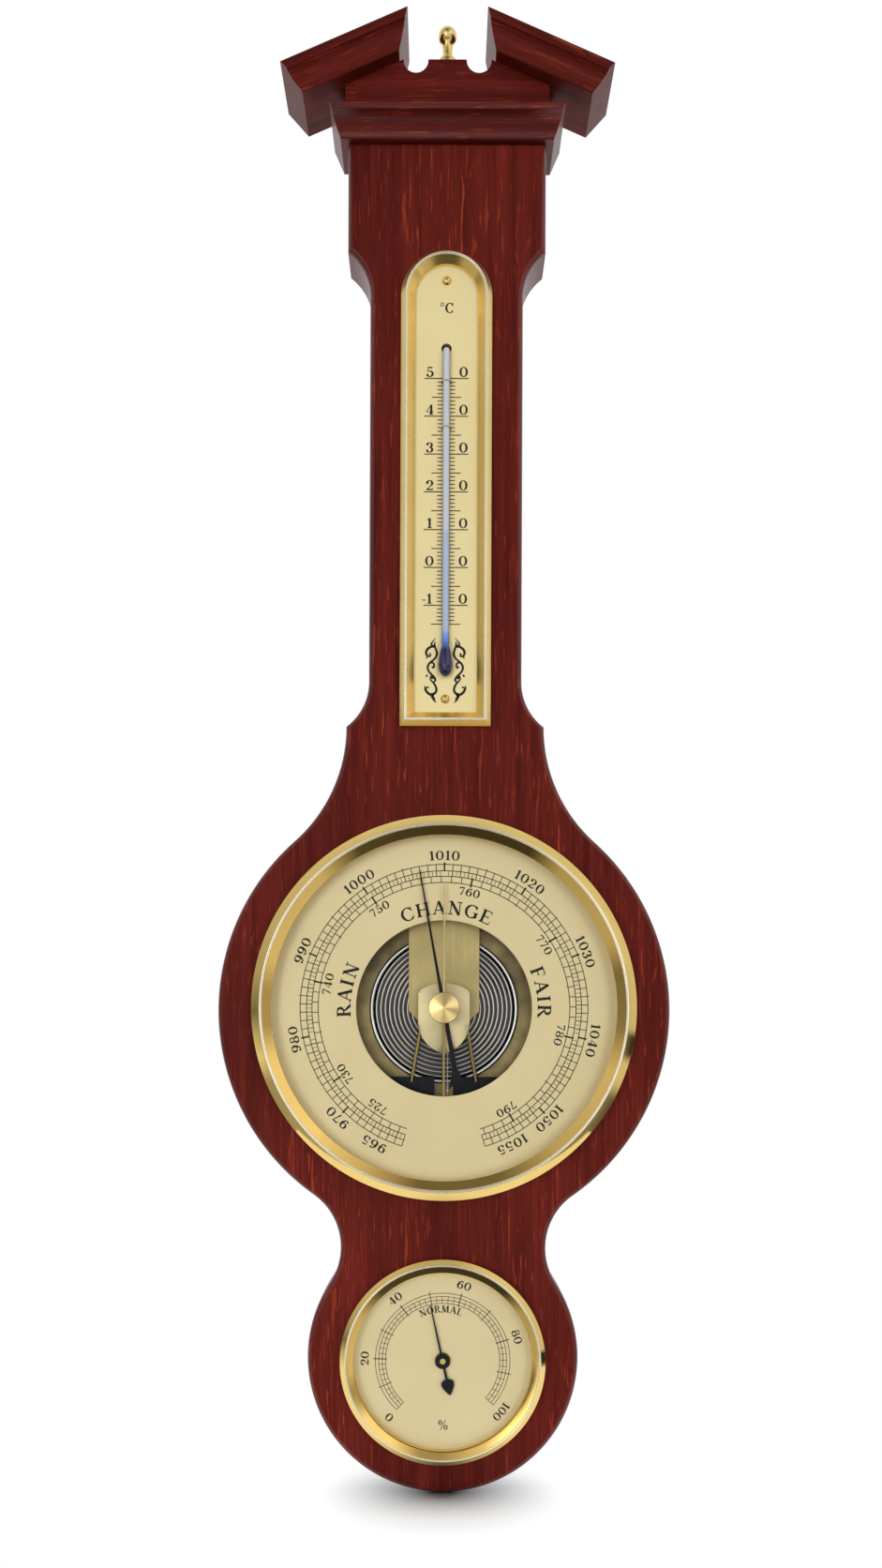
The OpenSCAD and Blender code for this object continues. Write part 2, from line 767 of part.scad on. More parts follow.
module barometer_case() {
    color(steel) difference() {
        union() {
            slab(can_back, glass_level) ring(can_r, can_in);
            disc(can_back, can_floor, can_r - can_wall / 2);
            foot_places() disc(can_back, movement_back, foot_boss_r);
        }
        foot_places() {
            disc(can_back - over, movement_back - foot_head_t, foot_head_r + slip);
            disc(can_back - over, movement_back + over, foot_shank_r + fit);
        }
        translate([0, 0, regulator_up]) disc(can_back - over, can_floor + over, access_r);
    }
}

module barometer_bezel() {
    bezel(bezel_r, crest_r, bezel_h, view_r, skirt_in, glass_front, skirt_out);
}

module barometer_glass() {
    color(clear) slab(glass_level, glass_front) ring(can_r - slip, set_shaft_r + fit);
}

module barometer_spacer_ring() {
    color(brass) face(0) rotate_extrude() polygon([[dial_r, dial_level], [dial_r, glass_level],
        [view_r + 0.9, glass_level], [view_r + 0.7, dial_level]]);
}

module barometer_dial() {
    color(gilt) slab(dial_back, dial_level) ring(dial_r, opening_r);
}

module pillar_places() {
    for (a = [30, 150, 270]) translate(pillar_ring * [cos(a), 0, sin(a)]) children();
}

module dial_pillars() {
    color(brass) pillar_places() disc(movement_front, dial_back, pillar_r);
}

module movement_plate() {
    color(brass) difference() {
        disc(movement_back, movement_front, can_in - 1);
        foot_places() disc(movement_back - over, movement_front + over, foot_shank_r + fit);
        translate([0, 0, regulator_up]) disc(movement_back - over, movement_front + over, regulator_r + fit);
        disc(movement_back - over, movement_front + over, stud_r + fit);
    }
}

module movement_screws() {
    color(steel) difference() {
        foot_places() {
            disc(movement_back - foot_head_t - 1, movement_back - foot_head_t, foot_head_r);
            disc(movement_back - foot_head_t - fit, movement_front, foot_shank_r);
        }
        foot_places() face(movement_back - foot_head_t - 1) translate([-foot_head_r, -0.4, -over])
            cube([2 * foot_head_r, 0.8, over + 0.5]);
    }
}

// Capsule, leaf spring and lever

stud_r = 2;
capsule_seam = (capsule_top + capsule_base) / 2;
ring_pitch = 2.05;
ring_wave_r = 0.62;
ring_first = capsule_r - 3;
clamp_room = 6;
clamp_h = 12;
clamp_margin = 2;
clamp_low = capsule_r + clamp_room;
clamp_high = clamp_low + clamp_h;
clamp_w = spring_w + 2 * clamp_margin;
clamp_wall = 5;
clamp_cap = 2.6;
tongue_end = 7;
clamp_screw_x = 9;
clamp_screw_r = 1.5;
clamp_head_r = 2.8;
clamp_head_t = 1.3;
clamp_up = (clamp_low + clamp_high) / 2;
tongue_w = 14;
tongue_t = 1.6;
spring_low = -5.5;
spring_chamfer = 4.5;
post_r = 3;
lever_r = 0.55;
lever_level = spring_front - 0.6;
crossbar_w = 8;
crossbar_h = 2.2;
crossbar_drop = 2.6;
crossbar_t = 0.7;
neck_of_lever_w = 3;

module capsule_back() {
    color(steel) {
        disc(capsule_base, capsule_seam - fit, capsule_r - 1.2);
        disc(movement_front, capsule_base + fit, 6);
        disc(movement_back, movement_front + fit, stud_r);
        slab(capsule_seam - 0.8, capsule_seam - fit) circle(capsule_r);
    }
}

// Front half of the capsule: a shallow pan with a rolled rim and round ridges pressed into it
module capsule_front() {
    floor_level = capsule_top - ring_wave_r;
    color(steel) {
        disc(capsule_seam, capsule_seam + 0.9, capsule_r);
        disc(capsule_seam, floor_level, capsule_r - 1);
        for (i = [0:capsule_rings - 1]) face(floor_level) rotate_extrude()
            translate([ring_first - i * ring_pitch, 0]) circle(ring_wave_r);
        disc(capsule_seam, capsule_top, post_r + 2);
    }
}

module spring_bracket() {
    color(steel) difference() {
        union() {
            slab(movement_front, spring_back - fit)
                translate([-clamp_w / 2, clamp_low]) square([clamp_w, clamp_high - clamp_low]);
            slab(movement_front, movement_front + tongue_t)
                translate([-tongue_w / 2, clamp_high - over])
                    square([tongue_w, regulator_up - clamp_high + tongue_end]);
        }
        slab(movement_front + tongue_t, spring_back - clamp_cap)
            translate([-clamp_w / 2 + clamp_wall, clamp_low - over])
                square([clamp_w - 2 * clamp_wall, clamp_h + 2 * over]);
        clamp_screw_places() disc(spring_back - clamp_cap - over, over, clamp_screw_r + fit);
    }
}

module clamp_screw_places() {
    for (x = [-clamp_screw_x, clamp_screw_x]) translate([x, 0, clamp_up]) children();
}

module spring_screws() {
    head_level = spring_front + fit;
    color(steel) difference() {
        clamp_screw_places() {
            disc(head_level, head_level + clamp_head_t, clamp_head_r);
            disc(spring_back - clamp_cap + 2 * slip, head_level + fit, clamp_screw_r);
        }
        clamp_screw_places() face(head_level + clamp_head_t - 0.6) translate([-clamp_head_r, -0.4, 0])
            cube([2 * clamp_head_r, 0.8, over]);
    }
}

module main_spring() {
    half = spring_w / 2;
    color(brass) difference() {
        slab(spring_back, spring_front)
            polygon([[-half + spring_chamfer, spring_low], [half - spring_chamfer, spring_low],
                [half, spring_low + spring_chamfer], [half, clamp_high], [-half, clamp_high],
                [-half, spring_low + spring_chamfer]]);
        clamp_screw_places() disc(spring_back - over, over, clamp_screw_r + slip);
    }
}

module capsule_post() {
    color(brass) disc(capsule_top + gap, spring_back - fit, post_r);
}

module main_lever() {
    color(brass) {
        slab(spring_back - fit - crossbar_t, spring_back - fit)
            translate([-crossbar_w / 2, spring_low - crossbar_drop]) square([crossbar_w, crossbar_h]);
        slab(spring_back - fit - slip, lever_level)
            translate([-neck_of_lever_w / 2, spring_low - crossbar_drop]) square([neck_of_lever_w, crossbar_h]);
        translate([0, -board_t - lever_level, dial_z + link_up])
            cylinder(h = spring_low - gap - link_up, r = lever_r);
    }
}

// Rocking shaft and chain

rocker_room = 8.5;
rocker_height = 3.1;
drum_depth = 1.4;
rocker_up = -(capsule_r + rocker_room);
rocker_level = movement_front + rocker_height;
drum_level = rear_front + drum_depth;
drum_l = 2;
link_up = rocker_up - short_arm;
shaft_r = 1.2;
pivot_r = 0.8;
cheek_in = 20;
cheek_t = 2;
arm_x = drum_r;
arm_t = 0.8;
arm_w = 1.6;
arm_eye_r = 1.2;
link_r = 0.5;
pin_eye_r = 0.6;
bracket_lap = 3;
bracket_reach = 16;
bracket_foot = 2;
cheek_short = 7;
bracket_top = -(capsule_r - bracket_lap);
bracket_low = -(capsule_r + bracket_reach);
bracket_w = 52;
bracket_t = 1.6;
bracket_slot = 4;

// Places a shaft along X at a height and level
module across(up, level) {
    translate([0, -board_t - level, dial_z + up]) rotate([0, 90, 0]) children();
}

module rocker_bracket() {
    color(blued) difference() {
        union() {
            slab(spring_back, spring_back + bracket_t) difference() {
                translate([-bracket_w / 2, bracket_low]) square([bracket_w, bracket_top - bracket_low]);
                translate([-bracket_slot, bracket_low + bracket_foot])
                    square([2 * bracket_slot, bracket_top - bracket_low]);
            }
            for (side = [0, 1]) mirror([side, 0, 0]) slab(movement_front, spring_back + fit)
                translate([cheek_in, bracket_low]) square([cheek_t, bracket_top - bracket_low - cheek_short]);
        }
        across(rocker_up, rocker_level) cylinder(h = bracket_w, r = pivot_r + fit, center = true);
    }
}

module rocking_shaft() {
    color(brass) {
        across(rocker_up, rocker_level) {
            cylinder(h = 2 * (cheek_in - gap), r = shaft_r, center = true);
            cylinder(h = 2 * (cheek_in + cheek_t - 0.2), r = pivot_r, center = true);
        }
        slab(rocker_level, drum_level)
            translate([arm_x - arm_t / 2, rocker_up - arm_w / 2]) square([arm_t, arm_w]);
        across(rocker_up, drum_level) translate([0, 0, arm_x - arm_t / 2]) cylinder(h = arm_t, r = arm_eye_r);
        slab(rocker_level - link_r, rocker_level + link_r)
            translate([-link_r, link_up]) square([2 * link_r, short_arm]);
        across(link_up, rocker_level) cylinder(h = 2 * link_r, r = pin_eye_r, center = true);
    }
}

module connecting_link() {
    color(brass) translate([0, 0, link_up]) disc(rocker_level + pin_eye_r + gap, lever_level - lever_r, link_r);
}

// Chain of flat links joined by rivets, from the long arm up to the drum
module chain() {
    low = rocker_up + arm_eye_r + gap;
    pitch = 1.6;
    count = floor(-low / pitch);
    x = drum_r + 0.3;
    color(steel) {
        slab(drum_level - 0.2, drum_level + 0.2) translate([x - 0.15, low]) square([0.3, -low]);
        for (i = [0:count]) across(low + 0.4 + i * pitch, drum_level)
            translate([0, 0, x - 0.25]) cylinder(h = 0.5, r = 0.35);
    }
}

module regulator_screw() {
    head_level = movement_back - gap - 0.1;
    color(brass) translate([0, 0, regulator_up]) difference() {
        union() {
            disc(head_level, movement_front - gap, regulator_r);
            disc(can_back + 0.4, head_level, regulator_head_r);
        }
        face(can_back + 0.4) translate([-regulator_head_r - over, -0.5, -over])
            cube([2 * regulator_head_r + 2 * over, 1, over + 1]);
    }
}

// Arbor bridge, indicator and set hand

shield_corner = -5;
shield_tip_r = 14.6;
shield_top_r = 18;
shield_top_up = 11;
pillar_x = 8;
pillar_up = 3;
bridge_pillar_r = 1.2;
leg_r = 0.75;
leg_top = [bridge_w / 2 - 1.2, -8];
leg_foot = [13.8, bracket_top - 2];
arbor_r = 0.9;
rear_pivot_r = 0.6;
collet_r = 1.6;
set_shaft_r = 1.85;
set_hub_r = 3.4;
set_half = 0.6;
set_tip_half = 0.45;
set_point = 3;
washer_r = 4;

module shield_outline() {
    half = bridge_w / 2;
    intersection() {
        translate([0, shield_top_up - shield_top_r]) circle(shield_top_r);
        union() {
            translate([-half, shield_corner]) square([bridge_w, 2 * shield_top_r]);
            intersection() {
                translate([half - shield_tip_r, shield_corner]) circle(shield_tip_r);
                translate([shield_tip_r - half, shield_corner]) circle(shield_tip_r);
                translate([-half, shield_corner - 2 * shield_tip_r])
                    square([bridge_w, 2 * shield_tip_r + 0.01]);
            }
        }
    }
}

module arbor_bridge() {
    color(brass) slab(bridge_back, bridge_front) difference() {
        shield_outline();
        circle(arbor_r + fit);
    }
}

module arbor_rear_plate() {
    color(brass) slab(rear_back, rear_front) difference() {
        translate([-pillar_x - 2, pillar_up - 6]) square([2 * pillar_x + 4, 9]);
        circle(rear_pivot_r + fit);
    }
}

module bridge_pillars() {
    color(brass) for (x = [-pillar_x, pillar_x]) translate([x, 0, pillar_up])
        disc(rear_front, bridge_back, bridge_pillar_r);
}

// A round rod between two points given as X, height and level
module rod(a, b, r) {
    start = [a[0], -board_t - a[2], dial_z + a[1]];
    way = [b[0] - a[0], a[2] - b[2], b[1] - a[1]];
    translate(start) rotate([0, acos(way[2] / norm(way)), atan2(way[1], way[0])])
        cylinder(h = norm(way), r = r);
}

module bridge_legs() {
    top_level = bridge_back - leg_r - slip;
    foot_level = spring_back + bracket_t + leg_r + slip;
    color(brass) for (side = [-1, 1])
        rod([side * leg_top[0], leg_top[1], top_level], [side * leg_foot[0], leg_foot[1], foot_level], leg_r);
}

module indicator_arbor() {
    color(steel) {
        disc(rear_front + gap, indicator_level + indicator_t + hub_spare, arbor_r);
        disc(rear_back, rear_front + gap + fit, rear_pivot_r);
        disc(drum_level - drum_l / 2, drum_level + drum_l / 2, drum_r);
        disc(bridge_back - 1.1, bridge_back - gap, collet_r);
    }
}

// A tapered hand with a flared, forked tail, drawn upright
module indicator_outline() {
    tail = -indicator_tail;
    difference() {
        union() {
            polygon([[-0.25, indicator_l], [0.25, indicator_l], [0.75, 0], [-0.75, 0]]);
            polygon([[-0.8, 0], [0.8, 0], [1, tail + 8], [1.7, tail + 6], [4, tail], [0, tail + 2.4],
                [-4, tail], [-1.7, tail + 6], [-1, tail + 8]]);
            circle(3);
        }
        circle(arbor_r + fit);
    }
}

module indicator_hand() {
    color(blued) {
        slab(indicator_level, indicator_level + indicator_t) rotate(-indicator_rest) indicator_outline();
        slab(indicator_level - hub_spare, indicator_level + indicator_t) ring(2.2, arbor_r + fit);
    }
}

// A flat spiral ribbon about the axis
module spiral(r_in, r_out, turns, thick) {
    steps = 24 * turns;
    grow = (r_out - r_in) / steps;
    polygon(concat(
        [for (i = [0:steps]) (r_in + grow * i + thick / 2) * [cos(15 * i), sin(15 * i)]],
        [for (i = [steps:-1:0]) (r_in + grow * i - thick / 2) * [cos(15 * i), sin(15 * i)]]));
}

module hairspring() {
    color(steel) slab(bridge_back - 1, bridge_back - 0.4) rotate(160) spiral(collet_r + 0.2, 6.4, 5, 0.2);
}

module set_knob() {
    top = knob_level + knob_h;
    face_h = 0.7;
    color(brass) {
        slab(knob_level, top - face_h) polygon([for (i = [0:2 * knurls - 1])
            (knob_r - 0.3 * (i % 2)) * [cos(180 * i / knurls), sin(180 * i / knurls)]]);
        face(top - face_h) cylinder(h = face_h, r1 = knob_r - 0.4, r2 = knob_r - 0.9);
        disc(set_level, knob_level + fit, set_shaft_r);
    }
}

module set_hand() {
    needle_t = set_t - slip;
    color(brass) difference() {
        union() {
            slab(set_level, set_level + needle_t)
                polygon([[0, set_l], [set_tip_half, set_l - set_point], [set_half, 0], [-set_half, 0],
                    [-set_tip_half, set_l - set_point]]);
            slab(set_level, set_level + needle_t)
                polygon([[set_half - fit, 0], [set_tip_half, -set_tail], [-set_tip_half, -set_tail],
                    [fit - set_half, 0]]);
            disc(set_level, set_level + set_t, set_hub_r);
        }
        disc(set_level - over, set_level + set_t + over, set_shaft_r + fit / 2);
    }
}

module set_washer() {
    color(brass) slab(set_level + set_t + fit, glass_level - gap) ring(washer_r, set_shaft_r + fit / 2);
}

// Hygrometer

hygro_bezel_r = hygro_can_r + hygro_bezel_over;
hygro_crest_r = hygro_can_r + hygro_crest_over;
hygro_view_r = hygro_can_r - hygro_lip_in;
hygro_skirt_in = hygro_can_r + fit;
hygro_skirt_out = hygro_skirt_in + skirt_t;
hygro_hole_r = hygro_skirt_out + slip;
hygro_can_in = hygro_can_r - hygro_wall;
hygro_dial_r = hygro_can_in - slip;
hygro_dial_level = 0.4;
hygro_dial_t = 0.7;
hygro_dial_back = hygro_dial_level - hygro_dial_t;
hygro_glass_level = 3.1;
hygro_glass_front = hygro_glass_level + hygro_glass_t;
hygro_ledge = 2;
bush_flange_r = 3.6;
bush_flange_t = 0.5;
bush_r = 2.6;
hygro_bridge_front = hygro_dial_back - 3.7;
hygro_bridge_t = 1.2;
hygro_bridge_back = hygro_bridge_front - hygro_bridge_t;
hygro_bridge_margin = 6;
hygro_bridge_l = 2 * (hygro_can_in - hygro_bridge_margin);
hygro_bridge_w = 9;
hygro_foot_in = 4;
hygro_foot_r = 1.6;
coil_pin_r = 0.8;
coil_pin_off = 1.3;
bush_back = hygro_bridge_back - 1;
coil_front = bush_back - 0.6;
coil_w = 3;
coil_r = 9;
collar_r = 1.8;
hygro_hand_level = 1.4;
hygro_hand_t = 0.4;
vent_r = 3;
vent_margin = 14.6;
vent_ring = hygro_can_r - vent_margin;

module hygro_case() {
    floor_front = hygro_wall - hygro_depth;
    color(steel) at_hygro() difference() {
        union() {
            slab(-hygro_depth, hygro_glass_level) ring(hygro_can_r, hygro_can_in);
            disc(-hygro_depth, floor_front, hygro_can_r - hygro_wall / 2);
            slab(hygro_dial_back - 1, hygro_dial_back) ring(hygro_can_in + fit, hygro_can_in - hygro_ledge);
        }
        for (a = [0:60:300]) translate(vent_ring * [cos(a), 0, sin(a)])
            disc(-hygro_depth - over, floor_front + over, vent_r);
    }
}

module hygro_bezel() {
    at_hygro() bezel(hygro_bezel_r, hygro_crest_r, hygro_bezel_h, hygro_view_r, hygro_skirt_in,
        hygro_glass_front, hygro_skirt_out);
}

module hygro_glass() {
    color(clear) at_hygro() disc(hygro_glass_level, hygro_glass_front, hygro_can_r - slip);
}

module hygro_spacer_ring() {
    color(brass) at_hygro() face(0) rotate_extrude() polygon([[hygro_dial_r, hygro_dial_level],
        [hygro_dial_r, hygro_glass_level], [hygro_view_r + 0.1, hygro_glass_level],
        [hygro_view_r - 0.1, hygro_dial_level]]);
}

module hygro_dial() {
    color(gilt) at_hygro() slab(hygro_dial_back, hygro_dial_level) ring(hygro_dial_r, bush_r + fit);
}

module hygro_bush() {
    color(brass) at_hygro() difference() {
        union() {
            disc(hygro_dial_level, hygro_dial_level + bush_flange_t, bush_flange_r);
            disc(bush_back, hygro_dial_level + fit, bush_r);
        }
        disc(bush_back - over, 2 * over, hygro_arbor_r + fit);
    }
}

// A strap behind the dial that steadies the bush and anchors the coil's outer end
module hygro_bridge() {
    half = hygro_bridge_l / 2;
    foot_x = half - hygro_foot_in;
    color(brass) at_hygro() {
        slab(hygro_bridge_back, hygro_bridge_front) difference() {
            translate([-half, -hygro_bridge_w / 2]) square([hygro_bridge_l, hygro_bridge_w]);
            circle(bush_r + fit);
        }
        for (x = [-foot_x, foot_x]) translate([x, 0, 0])
            disc(hygro_bridge_front - fit, hygro_dial_back, hygro_foot_r);
        translate([coil_r + coil_pin_off, 0, 0]) disc(coil_front - coil_w, hygro_bridge_back + fit, coil_pin_r);
    }
}

module hygro_arbor() {
    color(brass) at_hygro() {
        disc(coil_front - coil_w - 0.4, hygro_hand_level + hygro_hand_t + 0.7, hygro_arbor_r);
        disc(coil_front - coil_w, coil_front, collar_r);
    }
}

spade_w = 5.4;
spade_l = 7;
spade_steps = 12;

// Edge of the spade on one side, from its round shoulder to its point
function spade_side(side, first, last) = [for (i = side > 0 ? [first:last] : [last:-1:first])
    let (t = i / spade_steps)
    [side * spade_w / 2 * pow(sin(180 * pow(t, 0.55)), 0.85), spade_l * (1 - t) - hygro_tail]];

// A needle with a spade-shaped tail, drawn upright
module hygro_outline() {
    neck = spade_l - hygro_tail;
    polygon(concat([[0.2, hygro_l], [0.5, 0], [0.5, neck]], spade_side(1, 1, spade_steps),
        spade_side(-1, 1, spade_steps - 1), [[-0.5, neck], [-0.5, 0], [-0.2, hygro_l]]));
}

module hygro_hand() {
    top = hygro_hand_level + hygro_hand_t;
    hub_r = 3.2;
    color(blued) at_hygro() difference() {
        union() {
            slab(hygro_hand_level, top) rotate(-hygro_rest) hygro_outline();
            disc(hygro_hand_level - slip, top + 0.4, hub_r);
        }
        disc(hygro_hand_level - over, top + over, hygro_arbor_r + fit / 2);
    }
}

module hygro_coil() {
    color("peru") at_hygro() slab(coil_front - coil_w, coil_front) spiral(collar_r + 0.4, coil_r, 6, 0.35);
}

case_board();
tympanum_panel();
left_raking_cornice();
right_raking_cornice();
horizontal_cornice();
finial();
cornice_dowels();
rake_dowels();
hanger_plate();
hanger_screws();
thermometer_frame();
thermometer_plate();
thermometer_tube();
thermometer_spirit();
tube_staples();
plate_pins();
barometer_case();
barometer_bezel();
barometer_glass();
barometer_spacer_ring();
barometer_dial();
dial_pillars();
movement_plate();
movement_screws();
capsule_back();
capsule_front();
spring_bracket();
spring_screws();
rocker_bracket();
arbor_bridge();
arbor_rear_plate();
bridge_pillars();
bridge_legs();
hygro_case();
hygro_bezel();
hygro_glass();
hygro_spacer_ring();
hygro_dial();
hygro_bush();
hygro_bridge();
indicator_arbor();
indicator_hand();
hairspring();
set_knob();
set_hand();
set_washer();
rocking_shaft();
chain();
main_spring();
main_lever();
capsule_post();
connecting_link();
regulator_screw();
hygro_arbor();
hygro_hand();
hygro_coil();
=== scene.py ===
"""Looks of the banjo barometer: fine shapes, printed scales, materials, light and camera.

Lengths are millimetres until they reach a mesh, which is in metres.
Heights ("up") are counted from the barometer's centre, levels from the board's front towards the viewer.
"""
import math

import bmesh
import bpy
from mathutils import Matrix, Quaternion, Vector


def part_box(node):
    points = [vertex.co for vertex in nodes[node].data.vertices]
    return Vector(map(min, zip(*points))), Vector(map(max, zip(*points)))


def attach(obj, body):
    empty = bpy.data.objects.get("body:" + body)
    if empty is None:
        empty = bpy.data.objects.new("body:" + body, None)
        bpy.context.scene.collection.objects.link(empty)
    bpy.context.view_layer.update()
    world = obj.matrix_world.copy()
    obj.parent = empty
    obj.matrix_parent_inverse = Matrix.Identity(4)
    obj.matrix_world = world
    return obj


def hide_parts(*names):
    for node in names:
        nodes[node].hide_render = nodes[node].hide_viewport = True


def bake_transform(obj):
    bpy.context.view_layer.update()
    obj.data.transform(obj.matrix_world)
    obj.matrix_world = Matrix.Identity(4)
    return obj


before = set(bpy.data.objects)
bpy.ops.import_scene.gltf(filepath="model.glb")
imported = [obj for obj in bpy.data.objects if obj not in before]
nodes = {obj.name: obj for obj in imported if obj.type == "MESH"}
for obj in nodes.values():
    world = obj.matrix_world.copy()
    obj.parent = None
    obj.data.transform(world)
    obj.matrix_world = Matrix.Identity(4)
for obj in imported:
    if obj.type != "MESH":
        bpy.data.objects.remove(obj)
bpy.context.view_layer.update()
scene = bpy.context.scene

MM = 0.001
QUARTER = math.pi / 2
WELD = 0.002 * MM
NEAR = 1e-6

# How far cutting shapes pass a face, and the smallest radius of a turned tip
OVER = 1.0
TIP_R = 0.02

# Sizes of the board, as in the part
BOARD_T = 22.0
DIAL_Z = -345.0
BELLY_R = 95.3
BELLY_DROP = 0.8
LOBE_R = 57.0
LOBE_RISE = 1.0
HYGRO_DROP = 148.0
WAIST_R = 27.0
HEAD_W = 83.4
NECK_W = 64.4
COVE_R = 24.0
EAR_UP = 118.8
SHOULDER_UP = 319.0
BOARD_UP = 364.4
EDGE_R = 2.5
EDGE_STEPS = 6
FLAT = 0.97
BAROMETER_HOLE_R = 75.7
HYGRO_HOLE_R = 39.5
DOWEL_X = 25.02
DOWEL_R = 3.05
DOWEL_LEVEL = -8.0
DOWEL_IN = 14.0

# Hanger in the back
HANGER_UP = 345.0
HANGER_W = 46.4
HANGER_LOW = -10.1
HANGER_HIGH = 13.6
HANGER_CORNER = 4.0
HANGER_T = 1.6
POCKET_R = 7.0
POCKET_TOP = 14.0
POCKET_D = 9.0
HANGER_SCREW_X = 17.0
HANGER_SCREW_UP = 1.75
HANGER_SCREW_R = 1.5
HANGER_SCREW_L = 11.1

# Finial on the pediment's post
FINIAL_UP = 399.1
FINIAL_LEVEL = -6.0
FINIAL_R = 3.95
FINIAL_H = 17.7
FINIAL_PIN_R = 1.5
FINIAL_PIN_L = 7.0

# Thermometer
FRAME_UP = 118.2
FRAME_W = 38.5
FRAME_H = 200.0
FRAME_FACE = 6.0
FRAME_CREST = 4.5
ARCH_UP = FRAME_UP + FRAME_H - FRAME_W / 2
PLATE_W = 34.0
PLATE_T = 0.8
PLATE_MARGIN = 2.25
TUBE_R = 1.55
TUBE_LEVEL = 1.6
TUBE_UP = 159.3
TUBE_HOLE_R = 2.15
TUBE_WALL = 0.12
TUBE_BEND = 1.8
BULB_R = 2.85
BULB_L = 13.8
BULB_UP = 20.9
BULB_POCKET = 2.25
BULB_WAIST = 0.33
BULB_SWELL = 0.25
BULB_SLOT_W = 6.5
BULB_SLOT_LOW = BULB_UP - 1.2
BULB_SLOT_HIGH = BULB_UP + BULB_L + 2
PIN_UPS = (11.9, 187.8)
PIN_R = 0.85
PIN_L = 9.1
STAPLE_UPS = (125.4, 144.7)
STAPLE_X = 1.85
STAPLE_R = 0.32
STAPLE_L = 3.1
# Levels in front of the board between which the staples' painted highlight fades in
STAPLE_DARK = 1.6
STAPLE_BRIGHT = 2.6
ZERO_UP = 67.2
DEGREE = 1.59
READING = 9.2

# Barometer and hygrometer
BEZEL_R = 80.3
CREST_R = 76.1
BEZEL_H = 9.0
VIEW_R = 72.1
SKIRT_IN = 74.85
SKIRT_OUT = 75.6
GLASS_FRONT = 6.4
DIAL_LEVEL = 0.5
CAPSULE_R = 32.0
CAPSULE_TOP = -11.0
CAPSULE_SEAM = -13.4
CAPSULE_RINGS = 9
BOSS_HOLE_R = 4.6
CLAMP_UP = 37.5
BEND_L = 6.0
BEND_CUTS = 4
CHAIN_PITCH = 1.6
LINK_HALVES = (0.25, 0.12)
LINK_W = 0.6
LINK_LAP = 0.3
KNOB_R = 6.5
KNOB_LOW = 6.7
KNOB_TOP = 10.9
KNURLS = 56
SHIELD_W = 22.0
SHIELD_TOP = 11.0
SHIELD_TOP_R = 18.0
SHIELD_CORNER = -5.0
SHIELD_TIP_R = 14.6
SHIELD_FRONT = -1.8
SHIELD_BACK = -2.8
SHIELD_DOME = 0.6
ARBOR_HOLE_R = 0.95
SET_SHAFT_R = 1.85
SET_LEVEL = 3.1
SET_T = 0.4
SET_L = 53.0
SET_TAIL = 37.0
SET_HUB_R = 3.4
HYGRO_BEZEL_R = 43.0
HYGRO_CREST_R = 40.5
HYGRO_BEZEL_H = 6.4
HYGRO_VIEW_R = 37.4
HYGRO_SKIRT_IN = 38.65
HYGRO_SKIRT_OUT = 39.4
HYGRO_GLASS_FRONT = 4.6
HYGRO_DIAL_LEVEL = 0.4
SKIRT_L = 5.0
LIP_T = 0.5

# Mouldings of the pediment
RAKE_ANGLE = math.radians(23.6)
CROWN_OUT = 33.0
COVE_DEPTH = 0.12
CORNICE_W = 98.0
CORNICE_H = 9.6
CORNICE_FOOT = 23.8
CORNICE_LIP = 2.8
END_CUT = 4.2
RAKE_H = 12.6
RAKE_FOOT = 28.0
RAKE_LIP = 4.0
RAKE_OVER = 19.0
RAKE_COVER = 24.9
INNER_CUT = 9.4
PANEL_W = 86.0
PANEL_SIDE = 14.4
PANEL_T = 12
RAKE_DOWEL_R = 2.05
RAKE_DOWEL_IN = 6.05


# Mesh helpers

def spot(x, up, level):
    """A point of the object in metres, from its place seen from the front."""
    return (x * MM, (-BOARD_T - level) * MM, (DIAL_Z + up) * MM)


def new_item(name, data):
    """A new object in the scene."""
    item = bpy.data.objects.new(name, data)
    scene.collection.objects.link(item)
    return item


def make_object(name, vertices, faces, material=None, sharp=None):
    """A mesh object with outward normals, flat or smooth up to the given angle in degrees."""
    mesh = bpy.data.meshes.new(name)
    mesh.from_pydata(vertices, [], faces)
    work = bmesh.new()
    work.from_mesh(mesh)
    bmesh.ops.recalc_face_normals(work, faces=work.faces)
    work.to_mesh(mesh)
    work.free()
    if sharp is not None:
        mesh.shade_smooth()
        mesh.set_sharp_from_angle(angle=math.radians(sharp))
    if material is not None:
        mesh.materials.append(material)
    return new_item(name, mesh)


def add_piece(item, body, slot, *replaced):
    """Lets a piece ride on a body and hides the solids that it stands for. The finish slot is not used."""
    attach(item, body)
    if replaced:
        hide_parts(*replaced)
    return item


def skin(count, rings, first=0, closed=False):
    """Faces between rings of points. The two end rings are capped, or joined where the rings close."""
    end = first + (rings - 1) * count
    faces = [] if closed else [list(range(first, first + count)), list(range(end, end + count))]
    for k in range(rings if closed else rings - 1):
        here = first + k * count
        there = first + (k + 1) % rings * count
        for i in range(count):
            j = (i + 1) % count
            faces.append([here + i, here + j, there + j, there + i])
    return faces


def arc(cx, cy, r, start, end, steps, first=0):
    """Points on a circle from one angle to another, in degrees."""
    points = []
    for i in range(first, steps + 1):
        a = math.radians(start + (end - start) * i / steps)
        points.append((cx + r * math.cos(a), cy + r * math.sin(a)))
    return points


def circle(x, up, r, steps):
    return arc(x, up, r, 0, 360, steps)[:-1]


def capsule(width, low, high, steps=24):
    """Outline with round ends between two heights."""
    r = width / 2
    return arc(0, high - r, r, 0, 180, steps) + arc(0, low + r, r, 180, 360, steps)


